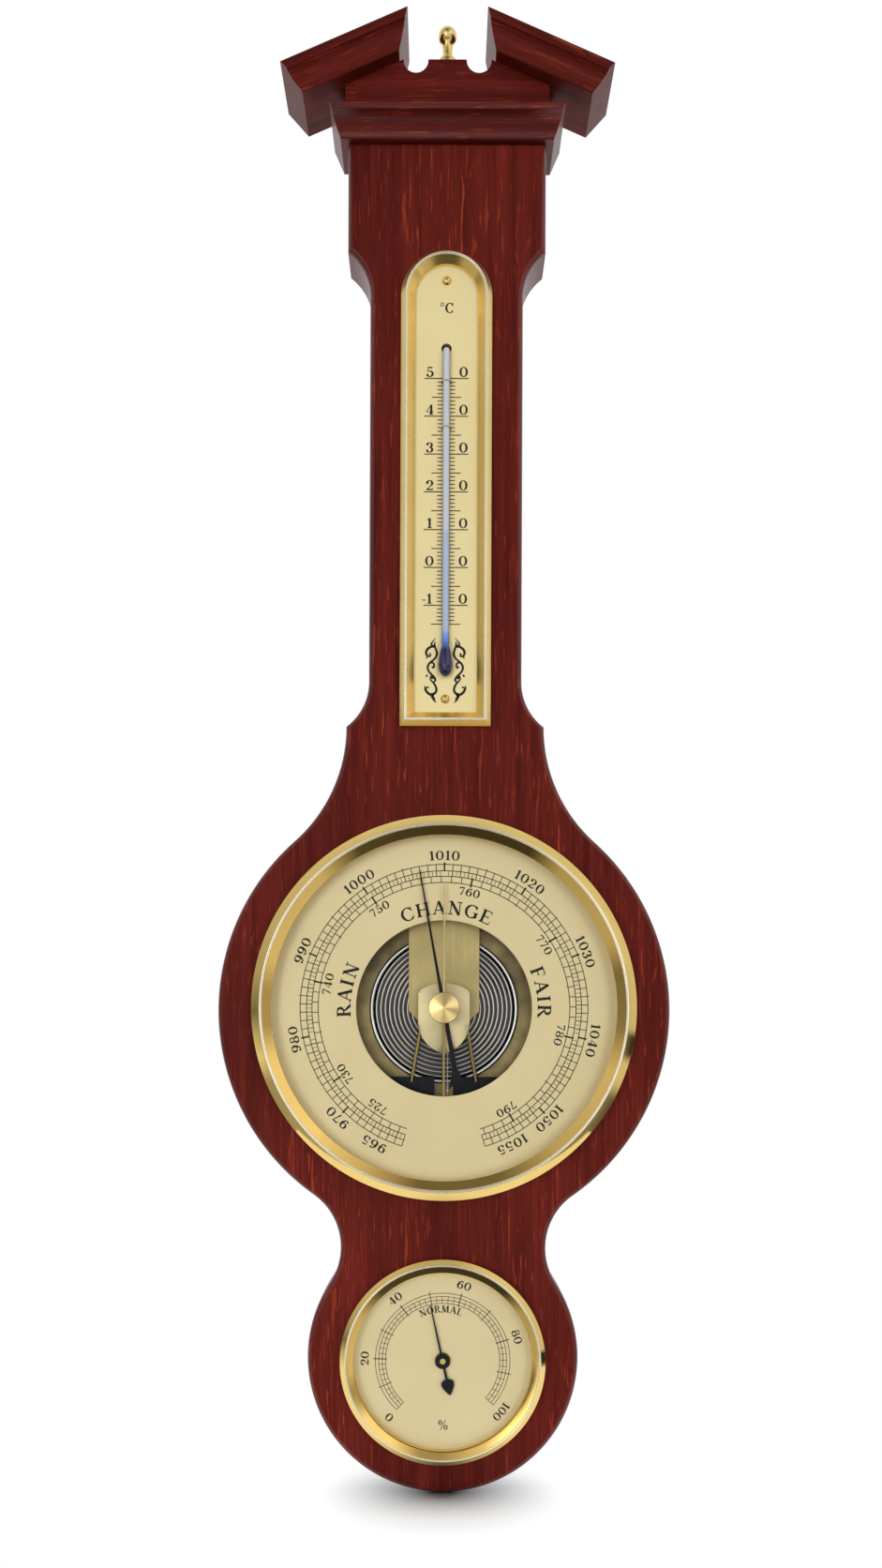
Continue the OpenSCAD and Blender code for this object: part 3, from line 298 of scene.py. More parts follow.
def arch(width, low, spring, steps=48):
    """Outline with a flat foot and a half-round top."""
    r = width / 2
    return [(r, low)] + arc(0, spring, r, 0, 180, steps) + [(-r, low)]


def bead(centre, half, low, rise, steps):
    """A low round rib: points of distance and level across it, from centre + half to centre - half."""
    points = []
    for i in range(steps + 1):
        turn = math.pi * i / steps
        points.append((centre + half * math.cos(turn), low + rise * math.sin(turn)))
    return points


def lathe(name, profile, up, material, sharp, steps=240):
    """A ring turned about the axis of a dial, from a closed profile of radius and level."""
    vertices = []
    for k in range(steps):
        turn = 2 * math.pi * k / steps
        vertices += [spot(r * math.sin(turn), up + r * math.cos(turn), level) for r, level in profile]
    return make_object(name, vertices, skin(len(profile), steps, closed=True), material, sharp)


def upright_lathe(name, profile, up, level, material, sharp, around):
    """A shape turned about a line along the board, from a profile of radius and height."""
    vertices = []
    for r, rise in profile:
        vertices += [spot(x, up + rise, level + out) for x, out in circle(0, 0, r, around)]
    return make_object(name, vertices, skin(around, len(profile)), material, sharp)


def paint_strips(item, material, count, strips):
    """Gives one more material to some strips of a swept profile."""
    slots = item.data.materials
    slots.append(material)
    for index, face in enumerate(item.data.polygons):
        if index % count in strips:
            face.material_index = len(slots) - 1


def cutter(outline, back, front):
    """A plate of an outline seen from the front, between two levels."""
    vertices = [spot(x, up, level) for level in (back, front) for x, up in outline]
    return make_object("cutter", vertices, skin(len(outline), 2))


def upright_cutter(x, level, r, low, high):
    """A cylinder along the board's length."""
    ring = circle(x, level, r, 32)
    vertices = [spot(px, up, out) for up in (low, high) for px, out in ring]
    return make_object("cutter", vertices, skin(len(ring), 2))


def freeze(item):
    """Applies a piece's modifiers to its mesh."""
    ready = item.evaluated_get(bpy.context.evaluated_depsgraph_get())
    mesh = bpy.data.meshes.new_from_object(ready)
    item.modifiers.clear()
    item.data = mesh


def take_out(item, cutters):
    """Cuts shapes out of a piece and removes the cutters."""
    for shape in cutters:
        change = item.modifiers.new("cut", "BOOLEAN")
        change.object = shape
        change.operation = "DIFFERENCE"
        change.solver = "EXACT"
    freeze(item)
    for shape in cutters:
        bpy.data.objects.remove(shape)


def even_normals(item):
    change = item.modifiers.new("even_normals", "WEIGHTED_NORMAL")
    change.keep_sharp = True
    change.weight = 100


def soften_edges(item, width):
    """Welds a solid's corners and rounds its sharp edges."""
    weld = item.modifiers.new("weld", "WELD")
    weld.merge_threshold = WELD
    change = item.modifiers.new("soft_edges", "BEVEL")
    change.width = width * MM
    change.segments = 3
    change.limit_method = "ANGLE"
    change.angle_limit = math.radians(35)
    change.use_clamp_overlap = True
    change.harden_normals = False
    even_normals(item)


# Material helpers

class Nodes:
    """A new node material or world, with short ways to add and join nodes."""

    def __init__(self, name, world=False):
        self.data = (bpy.data.worlds if world else bpy.data.materials).new(name)
        self.data.use_nodes = True
        self.tree = self.data.node_tree
        self.tree.nodes.clear()
        self.out = self.add("ShaderNodeOutputWorld" if world else "ShaderNodeOutputMaterial")

    def add(self, kind, **settings):
        node = self.tree.nodes.new(kind)
        for name, value in settings.items():
            setattr(node, name, value)
        return node

    def feed(self, socket, value):
        """Sets a plain number or colour on a socket, or joins another node's output to it."""
        if isinstance(value, tuple):
            socket.default_value = (*value, 1)
        elif isinstance(value, (int, float)):
            socket.default_value = value
        else:
            self.tree.links.new(value, socket)

    def fill(self, node, **values):
        """Feeds a node's sockets by their names."""
        for name, value in values.items():
            self.feed(node.inputs[name.replace("_", " ")], value)
        return node

    def math(self, operation, a, b):
        node = self.add("ShaderNodeMath", operation=operation)
        for value, socket in zip((a, b), node.inputs):
            self.feed(socket, value)
        return node.outputs[0]

    def coords(self, kind="Object"):
        return self.add("ShaderNodeTexCoord").outputs[kind]

    def split(self, vector):
        return self.fill(self.add("ShaderNodeSeparateXYZ"), Vector=vector).outputs

    def place(self, scale, turn=0.0):
        """The object's own coordinates in metres, turned about Y and then stretched."""
        rotate = self.add("ShaderNodeVectorRotate", rotation_type="Y_AXIS")
        self.fill(rotate, Vector=self.coords(), Angle=turn)
        stretch = self.add("ShaderNodeMapping")
        stretch.inputs["Scale"].default_value = scale
        return self.fill(stretch, Vector=rotate.outputs[0]).outputs[0]

    def noise(self, vector, scale=1.0, detail=2.0, roughness=0.5, distortion=0.0):
        node = self.add("ShaderNodeTexNoise")
        self.fill(node, Vector=vector, Scale=scale, Detail=detail, Roughness=roughness, Distortion=distortion)
        return node.outputs["Fac"]

    def ramp(self, value, *stops):
        """Turns a value into a colour through stops of position and colour."""
        node = self.add("ShaderNodeValToRGB")
        elements = node.color_ramp.elements
        while len(elements) < len(stops):
            elements.new(0.5)
        for element, (position, colour) in zip(elements, stops):
            element.position = position
            element.color = (*colour, 1)
        return self.fill(node, Fac=value).outputs["Color"]

    def remap(self, value, low, high, new_low=0.0, new_high=1.0):
        node = self.add("ShaderNodeMapRange")
        self.fill(node, Value=value, From_Min=low, From_Max=high, To_Min=new_low, To_Max=new_high)
        return node.outputs["Result"]

    def mix(self, factor, a, b):
        node = self.add("ShaderNodeMix", data_type="RGBA")
        return self.fill(node, Factor=factor, A=a, B=b).outputs["Result"]

    def bump(self, height, strength, distance):
        node = self.add("ShaderNodeBump")
        return self.fill(node, Height=height, Strength=strength, Distance=distance * MM).outputs["Normal"]

    def shader(self, kind, **sockets):
        return self.fill(self.add(kind), **sockets).outputs[0]

    def finish(self, shader):
        self.fill(self.out, Surface=shader)
        return self.data

    def surface(self, **sockets):
        """A material of one Principled shader. Plain values are set on its sockets and outputs are joined."""
        return self.finish(self.shader("ShaderNodeBsdfPrincipled", **sockets))

    def blend(self, factor, first, second):
        """A mix of two shaders."""
        both = self.add("ShaderNodeMixShader")
        for socket, value in zip(both.inputs, (factor, first, second)):
            self.feed(socket, value)
        return self.finish(both.outputs[0])


# Wood

WOOD_DARK = (0.056, 0.0048, 0.0036)
WOOD_MID = (0.110, 0.0112, 0.0080)
WOOD_RED = (0.162, 0.0178, 0.0115)
WOOD_FLECK = (0.330, 0.0480, 0.0190)
WOOD_LINE = (0.045, 0.0038, 0.0030)
WOOD_PORE = (0.022, 0.0019, 0.0017)
WOOD_SHEEN = (1.0, 0.45, 0.38)
EDGE_SHEEN = (1.0, 0.88, 0.88)


def wood(name, turn, fleck_scale, gloss=0.16, sheen=WOOD_SHEEN):
    """Red mahogany polish over an open grain that runs along Z once turned, with flecks of a given scale."""
    n = Nodes(name)
    drift = n.noise(n.place((26, 26, 7), turn), detail=2.0)
    base = n.noise(n.place((170, 170, 6), turn), detail=4.0, roughness=0.62, distortion=0.5)
    fine = n.noise(n.place((1150, 1150, 30), turn), detail=3.0, roughness=0.6)
    fleck = n.noise(n.place((860, 860, fleck_scale), turn), detail=2.5, roughness=0.55, distortion=0.8)
    pore = n.noise(n.place((2500, 2500, 130), turn), detail=1.0)
    body = n.ramp(n.math("ADD", n.math("MULTIPLY", base, 0.66), n.math("MULTIPLY", drift, 0.34)),
                  (0.32, WOOD_DARK), (0.50, WOOD_MID), (0.68, WOOD_RED))
    lined = n.mix(n.remap(fine, 0.40, 0.72, 0.0, 0.48), body, WOOD_LINE)
    shown = n.math("MULTIPLY", n.remap(fleck, 0.585, 0.685), n.remap(drift, 0.36, 0.62, 0.24, 0.78))
    flecked = n.mix(shown, lined, WOOD_FLECK)
    colour = n.mix(n.remap(pore, 0.66, 0.74, 0.0, 0.55), flecked, WOOD_PORE)
    height = n.math("SUBTRACT", n.math("MULTIPLY", fine, 0.5), n.remap(pore, 0.62, 0.74))
    polish = n.remap(fine, 0.3, 0.7, 0.30, 0.40)
    return n.surface(Base_Color=colour, Roughness=polish, Specular_IOR_Level=gloss, Specular_Tint=sheen,
                     Normal=n.bump(height, 0.10, 0.08))


BOARD_FLECK = 56
CROSS_FLECK = 62
board_wood = wood("board_wood", 0.0, BOARD_FLECK)
edge_wood = wood("edge_wood", 0.0, BOARD_FLECK, 0.5, EDGE_SHEEN)
cross_wood = wood("cross_wood", -QUARTER, CROSS_FLECK)
cornice_wood = wood("cornice_wood", -QUARTER, CROSS_FLECK, 0.42, EDGE_SHEEN)
left_rake_wood = wood("left_rake_wood", RAKE_ANGLE - QUARTER, CROSS_FLECK)
right_rake_wood = wood("right_rake_wood", -RAKE_ANGLE - QUARTER, CROSS_FLECK)


# Metals, glass and print

def clouded(name, scale, colour, shade, detail, **sockets):
    """A plain surface whose colour drifts between two tones."""
    n = Nodes(name)
    cloud = n.noise(n.place(scale), detail=detail)
    return n.surface(Base_Color=n.ramp(cloud, (0.3, shade), (0.7, colour)), **sockets)


dowel_wood = clouded("dowel_wood", (900, 900, 40), (0.58, 0.41, 0.22), (0.42, 0.27, 0.13), 3.0, Roughness=0.6)
ink = clouded("ink", (1200, 1200, 1200), (0.009, 0.009, 0.009), (0.005, 0.005, 0.006), 1.0, Roughness=0.6)


def metal(name, colour, shade, roughness, spread=0.06, bump=0.02):
    """A metal whose tone drifts at random over the surface, as faint tarnish on most metals and as painted
    dark reflection on the movement plate, with a finish that varies a little.
    """
    n = Nodes(name)
    cloud = n.noise(n.place((55, 55, 55)), detail=3.0)
    fine = n.noise(n.place((240, 240, 240)), scale=4.0, detail=2.0)
    polish = n.remap(fine, 0.3, 0.7, roughness - spread / 2, roughness + spread / 2)
    return n.surface(Base_Color=n.ramp(cloud, (0.3, shade), (0.62, colour)), Metallic=1.0, Roughness=polish,
                     Normal=n.bump(fine, bump, 0.03))


brass = metal("brass", (0.92, 0.67, 0.225), (0.88, 0.63, 0.20), 0.07, 0.03, 0.008)
# Painted highlight: nearly white brass for the crest beads of the bezels and the thermometer frame.
crest_highlight_brass = metal("crest_highlight_brass", (0.97, 0.91, 0.72), (0.95, 0.88, 0.68), 0.22, 0.04)
turned_brass = metal("turned_brass", (0.86, 0.64, 0.25), (0.78, 0.57, 0.21), 0.20)
# Painted reflection: the movement plate's darker tone forms large dark patches that stand for dark
# surroundings mirrored in it.
plate_brass = metal("plate_brass", (0.46, 0.36, 0.17), (0.13, 0.10, 0.06), 0.36)
leg_brass = metal("leg_brass", (0.50, 0.36, 0.13), (0.40, 0.28, 0.10), 0.32)
dull_brass = metal("dull_brass", (0.40, 0.30, 0.13), (0.30, 0.22, 0.09), 0.34)
hand_brass = metal("hand_brass", (0.90, 0.74, 0.40), (0.84, 0.67, 0.33), 0.34)
# Painted warm reflection: more orange copies of the brasses for the inner slopes of the bezels and the frame,
# where the gilt dial and plate are mirrored.
inner_reflection_brass = metal("inner_reflection_brass", (0.95, 0.64, 0.185), (0.91, 0.60, 0.165), 0.07, 0.03, 0.008)
inner_frame_reflection_brass = metal("inner_frame_reflection_brass", (0.97, 0.68, 0.20), (0.93, 0.63, 0.18), 0.24, 0.05)
frame_brass = metal("frame_brass", (0.96, 0.735, 0.285), (0.92, 0.69, 0.26), 0.24, 0.05)
steel = metal("steel", (0.56, 0.57, 0.58), (0.46, 0.47, 0.48), 0.28)
silver = metal("silver", (0.86, 0.86, 0.85), (0.80, 0.80, 0.79), 0.16, 0.02, 0.0)
# Painted shade: nearly black metal for the capsule's valleys.
painted_shade_nickel = metal("painted_shade_nickel", (0.085, 0.075, 0.065), (0.055, 0.048, 0.042), 0.35)
copper = metal("coil_copper", (0.62, 0.36, 0.19), (0.52, 0.28, 0.14), 0.3)


def dark_metal(name):
    n = Nodes(name)
    cloud = n.noise(n.place((300, 300, 300)), detail=2.0)
    tone = n.ramp(cloud, (0.3, (0.004, 0.005, 0.008)), (0.7, (0.008, 0.010, 0.015)))
    return n.surface(Base_Color=tone, Roughness=n.remap(cloud, 0.3, 0.7, 0.3, 0.42), Specular_IOR_Level=0.2)


black = dark_metal("black_enamel")


def staple_wire(name):
    """Dark wire with a painted highlight: it turns pale grey where it passes over the tube."""
    n = Nodes(name)
    y = n.split(n.coords())["Y"]
    # Painted highlight: pale grey over the tube, fading to the wire's dark tone towards the board.
    painted_highlight = n.remap(y, -(BOARD_T + STAPLE_DARK) * MM, -(BOARD_T + STAPLE_BRIGHT) * MM)
    tone = n.mix(painted_highlight, (0.030, 0.026, 0.022), (0.62, 0.62, 0.62))
    return n.surface(Base_Color=tone, Metallic=0.6, Roughness=0.3)


def turned_face(name, colour, shade, roughness):
    """Brass turned on a lathe, with its highlight drawn out round the axis."""
    n = Nodes(name)
    tangent = n.add("ShaderNodeTangent", direction_type="RADIAL", axis="Y")
    cloud = n.noise(n.place((200, 200, 200)), detail=2.0)
    polish = n.remap(cloud, 0.3, 0.7, roughness - 0.01, roughness + 0.01)
    return n.surface(Base_Color=n.ramp(cloud, (0.3, shade), (0.7, colour)), Metallic=1.0, Roughness=polish,
                     Anisotropic=0.85, Anisotropic_Rotation=0.25, Tangent=tangent.outputs[0])


knob_brass = turned_face("knob_brass", (0.90, 0.68, 0.31), (0.84, 0.62, 0.26), 0.16)
shield_brass = turned_face("shield_brass", (0.80, 0.68, 0.40), (0.75, 0.63, 0.35), 0.34)


def brushed(name, colour, shade, grain, cloud_scale, metallic, wear, polish, bump, **grade):
    """Sheet brass with fine lines along its length: wear is the lines' weight, polish their roughness."""
    n = Nodes(name)
    brush = n.noise(n.place(grain), **grade)
    cloud = n.noise(n.place((cloud_scale, cloud_scale, cloud_scale)), detail=2.0)
    sheet = n.ramp(cloud, (0.3, shade), (0.7, colour))
    tone = n.mix(n.remap(brush, 0.3, 0.7, 0.0, wear), sheet, shade)
    return n.surface(Base_Color=tone, Metallic=metallic, Roughness=n.remap(brush, 0.3, 0.7, *polish),
                     Normal=n.bump(brush, bump, 0.02))


def gilt(name, colour, shade):
    """Pale gold dial sheet, finely brushed."""
    return brushed(name, colour, shade, (2600, 2600, 120), 30, 0.20, 0.10, (0.42, 0.52), 0.03)


dial_gilt = gilt("dial_gilt", (0.82, 0.68, 0.39), (0.775, 0.635, 0.35))
plate_gilt = gilt("plate_gilt", (0.88, 0.745, 0.385), (0.85, 0.71, 0.355))
tail_brass = gilt("tail_brass", (0.44, 0.30, 0.09), (0.36, 0.24, 0.07))
spring_brass = brushed("spring_brass", (0.66, 0.52, 0.23), (0.48, 0.37, 0.15), (1500, 1500, 20), 60,
                       0.35, 0.75, (0.30, 0.44), 0.08, detail=3.0, roughness=0.6)


def thin_glass(name, tint, gloss, curve):
    """Clear glass: what lies behind it stays in place, with a faint reflection."""
    n = Nodes(name)
    rim = n.fill(n.add("ShaderNodeLayerWeight"), Blend=gloss)
    clear = n.shader("ShaderNodeBsdfTransparent", Color=tint)
    return n.blend(rim.outputs[curve], clear, n.shader("ShaderNodeBsdfGlossy", Roughness=0.02))


dial_glass = thin_glass("dial_glass", (0.985, 0.99, 0.985), 0.06, "Facing")
tube_glass = thin_glass("tube_glass", (0.97, 0.98, 1.0), 0.12, "Fresnel")


def spirit_core(name):
    """Blue spirit seen through the tube: navy in the bulb, pale up to the reading, white glass above it."""
    n = Nodes(name)
    foot = (DIAL_Z + FRAME_UP) * MM
    up = n.remap(n.split(n.coords())["Z"], foot + BULB_UP * MM, foot + TUBE_UP * MM)
    span = TUBE_UP - BULB_UP
    bulb_top = BULB_L / span
    level = (ZERO_UP + READING * DEGREE - BULB_UP) / span
    soft = 0.004
    colour = n.ramp(up, (0.0, (0.008, 0.008, 0.060)), (bulb_top * 0.80, (0.008, 0.009, 0.075)),
                    (bulb_top * 1.02, (0.075, 0.20, 0.58)), (bulb_top * 1.27, (0.17, 0.37, 0.74)),
                    (bulb_top * 1.40, (0.44, 0.51, 0.66)), (level - soft, (0.46, 0.52, 0.66)),
                    (level + soft, (0.60, 0.62, 0.66)), (1.0, (0.62, 0.63, 0.65)))
    return n.surface(Base_Color=colour, Roughness=0.12, Coat_Weight=0.5, Coat_Roughness=0.03)


spirit = spirit_core("spirit")


# Materials of the solids that stay

def dress(material, *names):
    for name in names:
        slots = nodes[name].data.materials
        slots.clear()
        slots.append(material)


dress(cross_wood, "tympanum_panel")
dress(cornice_wood, "horizontal_cornice")
dress(left_rake_wood, "left_raking_cornice")
dress(right_rake_wood, "right_raking_cornice")
dress(board_wood, "case_board")
dress(dowel_wood, "cornice_dowels", "rake_dowels")
dress(turned_brass, "finial", "plate_pins", "hygro_bush", "hygro_arbor")
dress(brass, "thermometer_frame", "barometer_bezel", "barometer_spacer_ring", "hygro_bezel",
      "hygro_spacer_ring", "set_washer", "set_knob", "hanger_plate", "hanger_screws", "regulator_screw")
dress(shield_brass, "arbor_bridge")
dress(hand_brass, "set_hand")
dress(spring_brass, "main_spring")
dress(dull_brass, "arbor_rear_plate", "bridge_pillars", "main_lever", "capsule_post", "connecting_link",
      "rocking_shaft", "dial_pillars", "hygro_bridge")
dress(plate_brass, "movement_plate")
dress(leg_brass, "bridge_legs")
dress(dial_gilt, "barometer_dial", "hygro_dial")
dress(plate_gilt, "thermometer_plate")
dress(steel, "barometer_case", "hygro_case", "movement_screws", "spring_bracket", "spring_screws",
      "indicator_arbor", "hairspring", "chain")
dress(staple_wire("staple_wire"), "tube_staples")
dress(silver, "capsule_back", "capsule_front")
dress(black, "indicator_hand", "hygro_hand", "rocker_bracket")
dress(dial_glass, "barometer_glass", "hygro_glass")
dress(tube_glass, "thermometer_tube")
dress(spirit, "thermometer_spirit")
dress(copper, "hygro_coil")

soften_edges(nodes["tympanum_panel"], 0.4)
soften_edges(nodes["barometer_dial"], 0.15)


# Board

def board_outline():
    """The board's edge, where belly, waist, flare and coves meet as tangent arcs."""
    to_belly = BELLY_R + WAIST_R
    to_lobe = LOBE_R + WAIST_R
    lobe_down = HYGRO_DROP - LOBE_RISE
    apart = lobe_down - BELLY_DROP
    waist_down = (to_belly ** 2 - to_lobe ** 2 + apart ** 2) / (2 * apart)
    waist_up = -BELLY_DROP - waist_down
    waist_x = math.sqrt(to_belly ** 2 - waist_down ** 2)
    half = HEAD_W / 2
    ear_rise = EAR_UP + BELLY_DROP
    flare_r = (half ** 2 + ear_rise ** 2 - BELLY_R ** 2) / (2 * BELLY_R - HEAD_W)
    flare_x = half + flare_r
    cove_x = NECK_W / 2 + COVE_R
    cove_rise = math.sqrt(COVE_R ** 2 - (cove_x - half) ** 2)
    cove_turn = math.degrees(math.atan2(cove_rise, cove_x - half))
    lobe_end = math.degrees(math.atan2(waist_up + lobe_down, waist_x))
    belly_start = -math.degrees(math.atan2(waist_down, waist_x))
    belly_end = math.degrees(math.atan2(ear_rise, flare_x))
    side = arc(0, -lobe_down, LOBE_R, -90, lobe_end, 60)
    side += arc(waist_x, waist_up, WAIST_R, 180 + lobe_end, 180 + belly_start, 36, 1)
    side += arc(0, -BELLY_DROP, BELLY_R, belly_start, belly_end, 80, 1)
    side += arc(flare_x, EAR_UP, flare_r, 180 + belly_end, 180, 40, 1)
    side += arc(cove_x, EAR_UP + cove_rise, COVE_R, 180 + cove_turn, 180, 20, 1)
    side += arc(cove_x, SHOULDER_UP - cove_rise, COVE_R, 180, 180 - cove_turn, 20)
    side.append((half, BOARD_UP))
    return side + [(-x, up) for x, up in reversed(side[1:])]


def inset(points, distance):
    """Moves a closed outline inwards by a distance."""
    moved = []
    count = len(points)
    for i in range(count):
        before = Vector(points[i]) - Vector(points[i - 1])
        after = Vector(points[(i + 1) % count]) - Vector(points[i])
        a = Vector((-before.y, before.x)).normalized()
        b = Vector((-after.y, after.x)).normalized()
        shift = (a + b) * (distance / (1 + a.dot(b)))
        moved.append((points[i][0] + shift.x, points[i][1] + shift.y))
    return moved


def board():
    """The board with a rounded front edge, its holes and its pockets."""
    outline = board_outline()
    levels = [(0.0, -BOARD_T), (0.0, -EDGE_R)]
    for k in range(1, EDGE_STEPS + 1):
        turn = QUARTER * k / EDGE_STEPS
        levels.append((EDGE_R * (1 - math.cos(turn)), EDGE_R * (math.sin(turn) - 1)))
    vertices = []
    for distance, level in levels:
        vertices += [spot(x, min(up, BOARD_UP), level) for x, up in inset(outline, distance)]
    item = make_object("board", vertices, skin(len(outline), len(levels)), board_wood)
    back = -BOARD_T - OVER
    holes = [
        (circle(0, 0, BAROMETER_HOLE_R, 180), back, OVER),
        (circle(0, -HYGRO_DROP, HYGRO_HOLE_R, 120), back, OVER),
        (arch(PLATE_W, FRAME_UP + PLATE_MARGIN, ARCH_UP), -PLATE_T, OVER),
        (capsule(BULB_SLOT_W, FRAME_UP + BULB_SLOT_LOW, FRAME_UP + BULB_SLOT_HIGH), -BULB_POCKET, OVER),
        (circle(0, FRAME_UP + TUBE_UP, TUBE_HOLE_R, 32), -BULB_POCKET, OVER),
        (hanger_recess(), back, -BOARD_T + HANGER_T),
        (capsule(2 * POCKET_R, HANGER_UP - POCKET_R, HANGER_UP + POCKET_TOP), back,
         -BOARD_T + HANGER_T + POCKET_D),
    ]
    for up in PIN_UPS:
        holes.append((circle(0, FRAME_UP + up, PIN_R, 20), -PIN_L, OVER))
    for up in STAPLE_UPS:
        for x in (-STAPLE_X, STAPLE_X):
            holes.append((circle(x, FRAME_UP + up, STAPLE_R, 12), -STAPLE_L, OVER))
    for x in (-HANGER_SCREW_X, HANGER_SCREW_X):
        screw = circle(x, HANGER_UP + HANGER_SCREW_UP, HANGER_SCREW_R, 20)
        holes.append((screw, back, -BOARD_T + HANGER_SCREW_L))
    cutters = [cutter(*hole) for hole in holes]
    for x in (-DOWEL_X, DOWEL_X):
        cutters.append(upright_cutter(x, DOWEL_LEVEL, DOWEL_R, BOARD_UP - DOWEL_IN, BOARD_UP + OVER))
    take_out(item, cutters)
    item.data.shade_smooth()
    item.data.set_sharp_from_angle(angle=math.radians(40))
    item.data.materials.append(edge_wood)
    for face in item.data.polygons:
        face.material_index = 1 if abs(face.normal.y) < FLAT else 0
    even_normals(item)
    return item


def hanger_recess():
    """Rounded outline of the hanger plate's recess in the back."""
    half = HANGER_W / 2 - HANGER_CORNER
    low = HANGER_UP + HANGER_LOW + HANGER_CORNER
    high = HANGER_UP + HANGER_HIGH - HANGER_CORNER
    outline = []
    for quarter, (x, up) in enumerate(((half, high), (-half, high), (-half, low), (half, low))):
        outline += arc(x, up, HANGER_CORNER, 90 * quarter, 90 * quarter + 90, 8)
    return outline


add_piece(board(), "root", "mahogany", "case_board")


# Mouldings of the pediment

def crown_rows(foot, height, lip):
    """Front of a moulding from its top down, as reach from the wall and height: a plain lip over a cove."""
    edge = 0.9
    small = 0.3
    under = height - lip
    rows = [(CROWN_OUT - 3, height)] + arc(CROWN_OUT - edge, height - edge, edge, 90, 0, 6)
    rows += arc(CROWN_OUT - small, under + small, small, 0, -80, 4)
    top = Vector((CROWN_OUT - 0.8, under - 0.1))
    low = Vector((foot + 0.9, 1.8))
    chord = low - top
    inward = Vector((chord.y, -chord.x)).normalized()
    depth = COVE_DEPTH * chord.length
    steps = 14
    for i in range(steps + 1):
        t = i / steps
        point = top + chord * t + inward * (4 * depth * t * (1 - t))
        rows.append((point.x, point.y))
    rows += [(foot + 0.85, 1.3), (foot + 0.6, 0.6), (foot + 0.3, 0.2), (foot, 0.0)]
    return rows


def moulding(name, rows, left_end, right_end, place, material):
    """A moulding whose ends run straight from their places at the top to those at the foot."""
    height = rows[0][1]
    vertices = []
    for reach, up in rows:
        left, right = [low + (high - low) * up / height for high, low in (left_end, right_end)]
        vertices += [place(left, up, 0), place(left, up, reach), place(right, up, reach), place(right, up, 0)]
    return make_object(name, vertices, skin(4, len(rows)), material, 32)


def cornice():
    """The level moulding between the board and the panel."""
    def place(x, up, reach):
        return spot(x, BOARD_UP + up, reach - BOARD_T)

    half = CORNICE_W / 2
    rows = crown_rows(CORNICE_FOOT, CORNICE_H, CORNICE_LIP)
    ends = (-half, END_CUT - half), (half, half - END_CUT)
    item = moulding("cornice_moulding", rows, *ends, place, cornice_wood)
    take_out(item, [upright_cutter(x, DOWEL_LEVEL, DOWEL_R, BOARD_UP - OVER, BOARD_UP + CORNICE_H + OVER)
                    for x in (-DOWEL_X, DOWEL_X)])
    return item


def rake(name, side, material):
    """A raking moulding over one slope of the panel; side is -1 for the left and 1 for the right."""
    def place(along, square, reach):
        x = PANEL_W / 2 - along * math.cos(RAKE_ANGLE) + square * math.sin(RAKE_ANGLE)
        up = along * math.sin(RAKE_ANGLE) + square * math.cos(RAKE_ANGLE)
        return spot(side * x, BOARD_UP + CORNICE_H + PANEL_SIDE + up, reach - BOARD_T)

    rows = crown_rows(RAKE_FOOT, RAKE_H, RAKE_LIP)
    ends = (-RAKE_OVER - END_CUT, -RAKE_OVER), (RAKE_COVER + INNER_CUT, RAKE_COVER)
    item = moulding(name, rows, *ends, place, material)
    ring = circle(RAKE_COVER / 2, BOARD_T - PANEL_T / 2, RAKE_DOWEL_R, 24)
    vertices = [place(along, square, reach) for square in (-OVER, RAKE_DOWEL_IN) for along, reach in ring]
    take_out(item, [make_object("cutter", vertices, skin(len(ring), 2))])
    return item


add_piece(cornice(), "root", "mahogany", "horizontal_cornice")
add_piece(rake("left_rake", -1, left_rake_wood), "root", "mahogany", "left_raking_cornice")
add_piece(rake("right_rake", 1, right_rake_wood), "root", "mahogany", "right_raking_cornice")


# Thermometer frame and tube

FRAME_START = [(0.0, 0.0), (0.0, 1.75), (0.06, 1.95), (0.20, 2.10)]
FRAME_RIBS = bead(2.36, -0.32, FRAME_CREST - 0.30, 0.30, 8) + bead(2.98, -0.15, FRAME_CREST - 0.40, 0.18, 8)
FRAME_END = [(3.22, FRAME_CREST - 0.55), (FRAME_FACE - 0.12, 1.55), (FRAME_FACE, 1.35), (FRAME_FACE, 0.0)]


def thermometer_frame():
    """A moulding of distance inwards and level, mitred at the foot and bent round the arch."""
    section = FRAME_START + FRAME_RIBS + FRAME_END
    half = FRAME_W / 2
    steps = 72
    stations = [[(half - u, FRAME_UP + u) for u, level in section]]
    for i in range(steps + 1):
        across = math.cos(math.pi * i / steps)
        rise = math.sin(math.pi * i / steps)
        stations.append([((half - u) * across, ARCH_UP + (half - u) * rise) for u, level in section])
    stations.append([(u - half, FRAME_UP + u) for u, level in section])
    vertices = []
    for station in stations:
        vertices += [spot(x, up, level) for (x, up), (u, level) in zip(station, section)]
    count = len(section)
    item = make_object("frame_moulding", vertices, skin(count, len(stations), closed=True), frame_brass, 28)
    first = len(FRAME_START)
    last = first + len(FRAME_RIBS) - 1
    # The frame's crest ribs get the painted highlight.
    paint_strips(item, crest_highlight_brass, count, range(first, last))
    # The frame's inner slope gets the painted warm reflection.
    paint_strips(item, inner_frame_reflection_brass, count, range(last, last + len(FRAME_END)))
    even_normals(item)
    return item


add_piece(thermometer_frame(), "root", "brass", "thermometer_frame")


def bulb_radius(t, r, neck):
    """Radius of the drop-shaped bulb at a share of its height."""
    if t < BULB_WAIST:
        return r * math.sqrt(max(1 - (1 - t / BULB_WAIST) ** 2, 0.0))
    return r - (r - neck) * min((t - BULB_WAIST) / (1 - BULB_WAIST), 1.0) ** 1.7


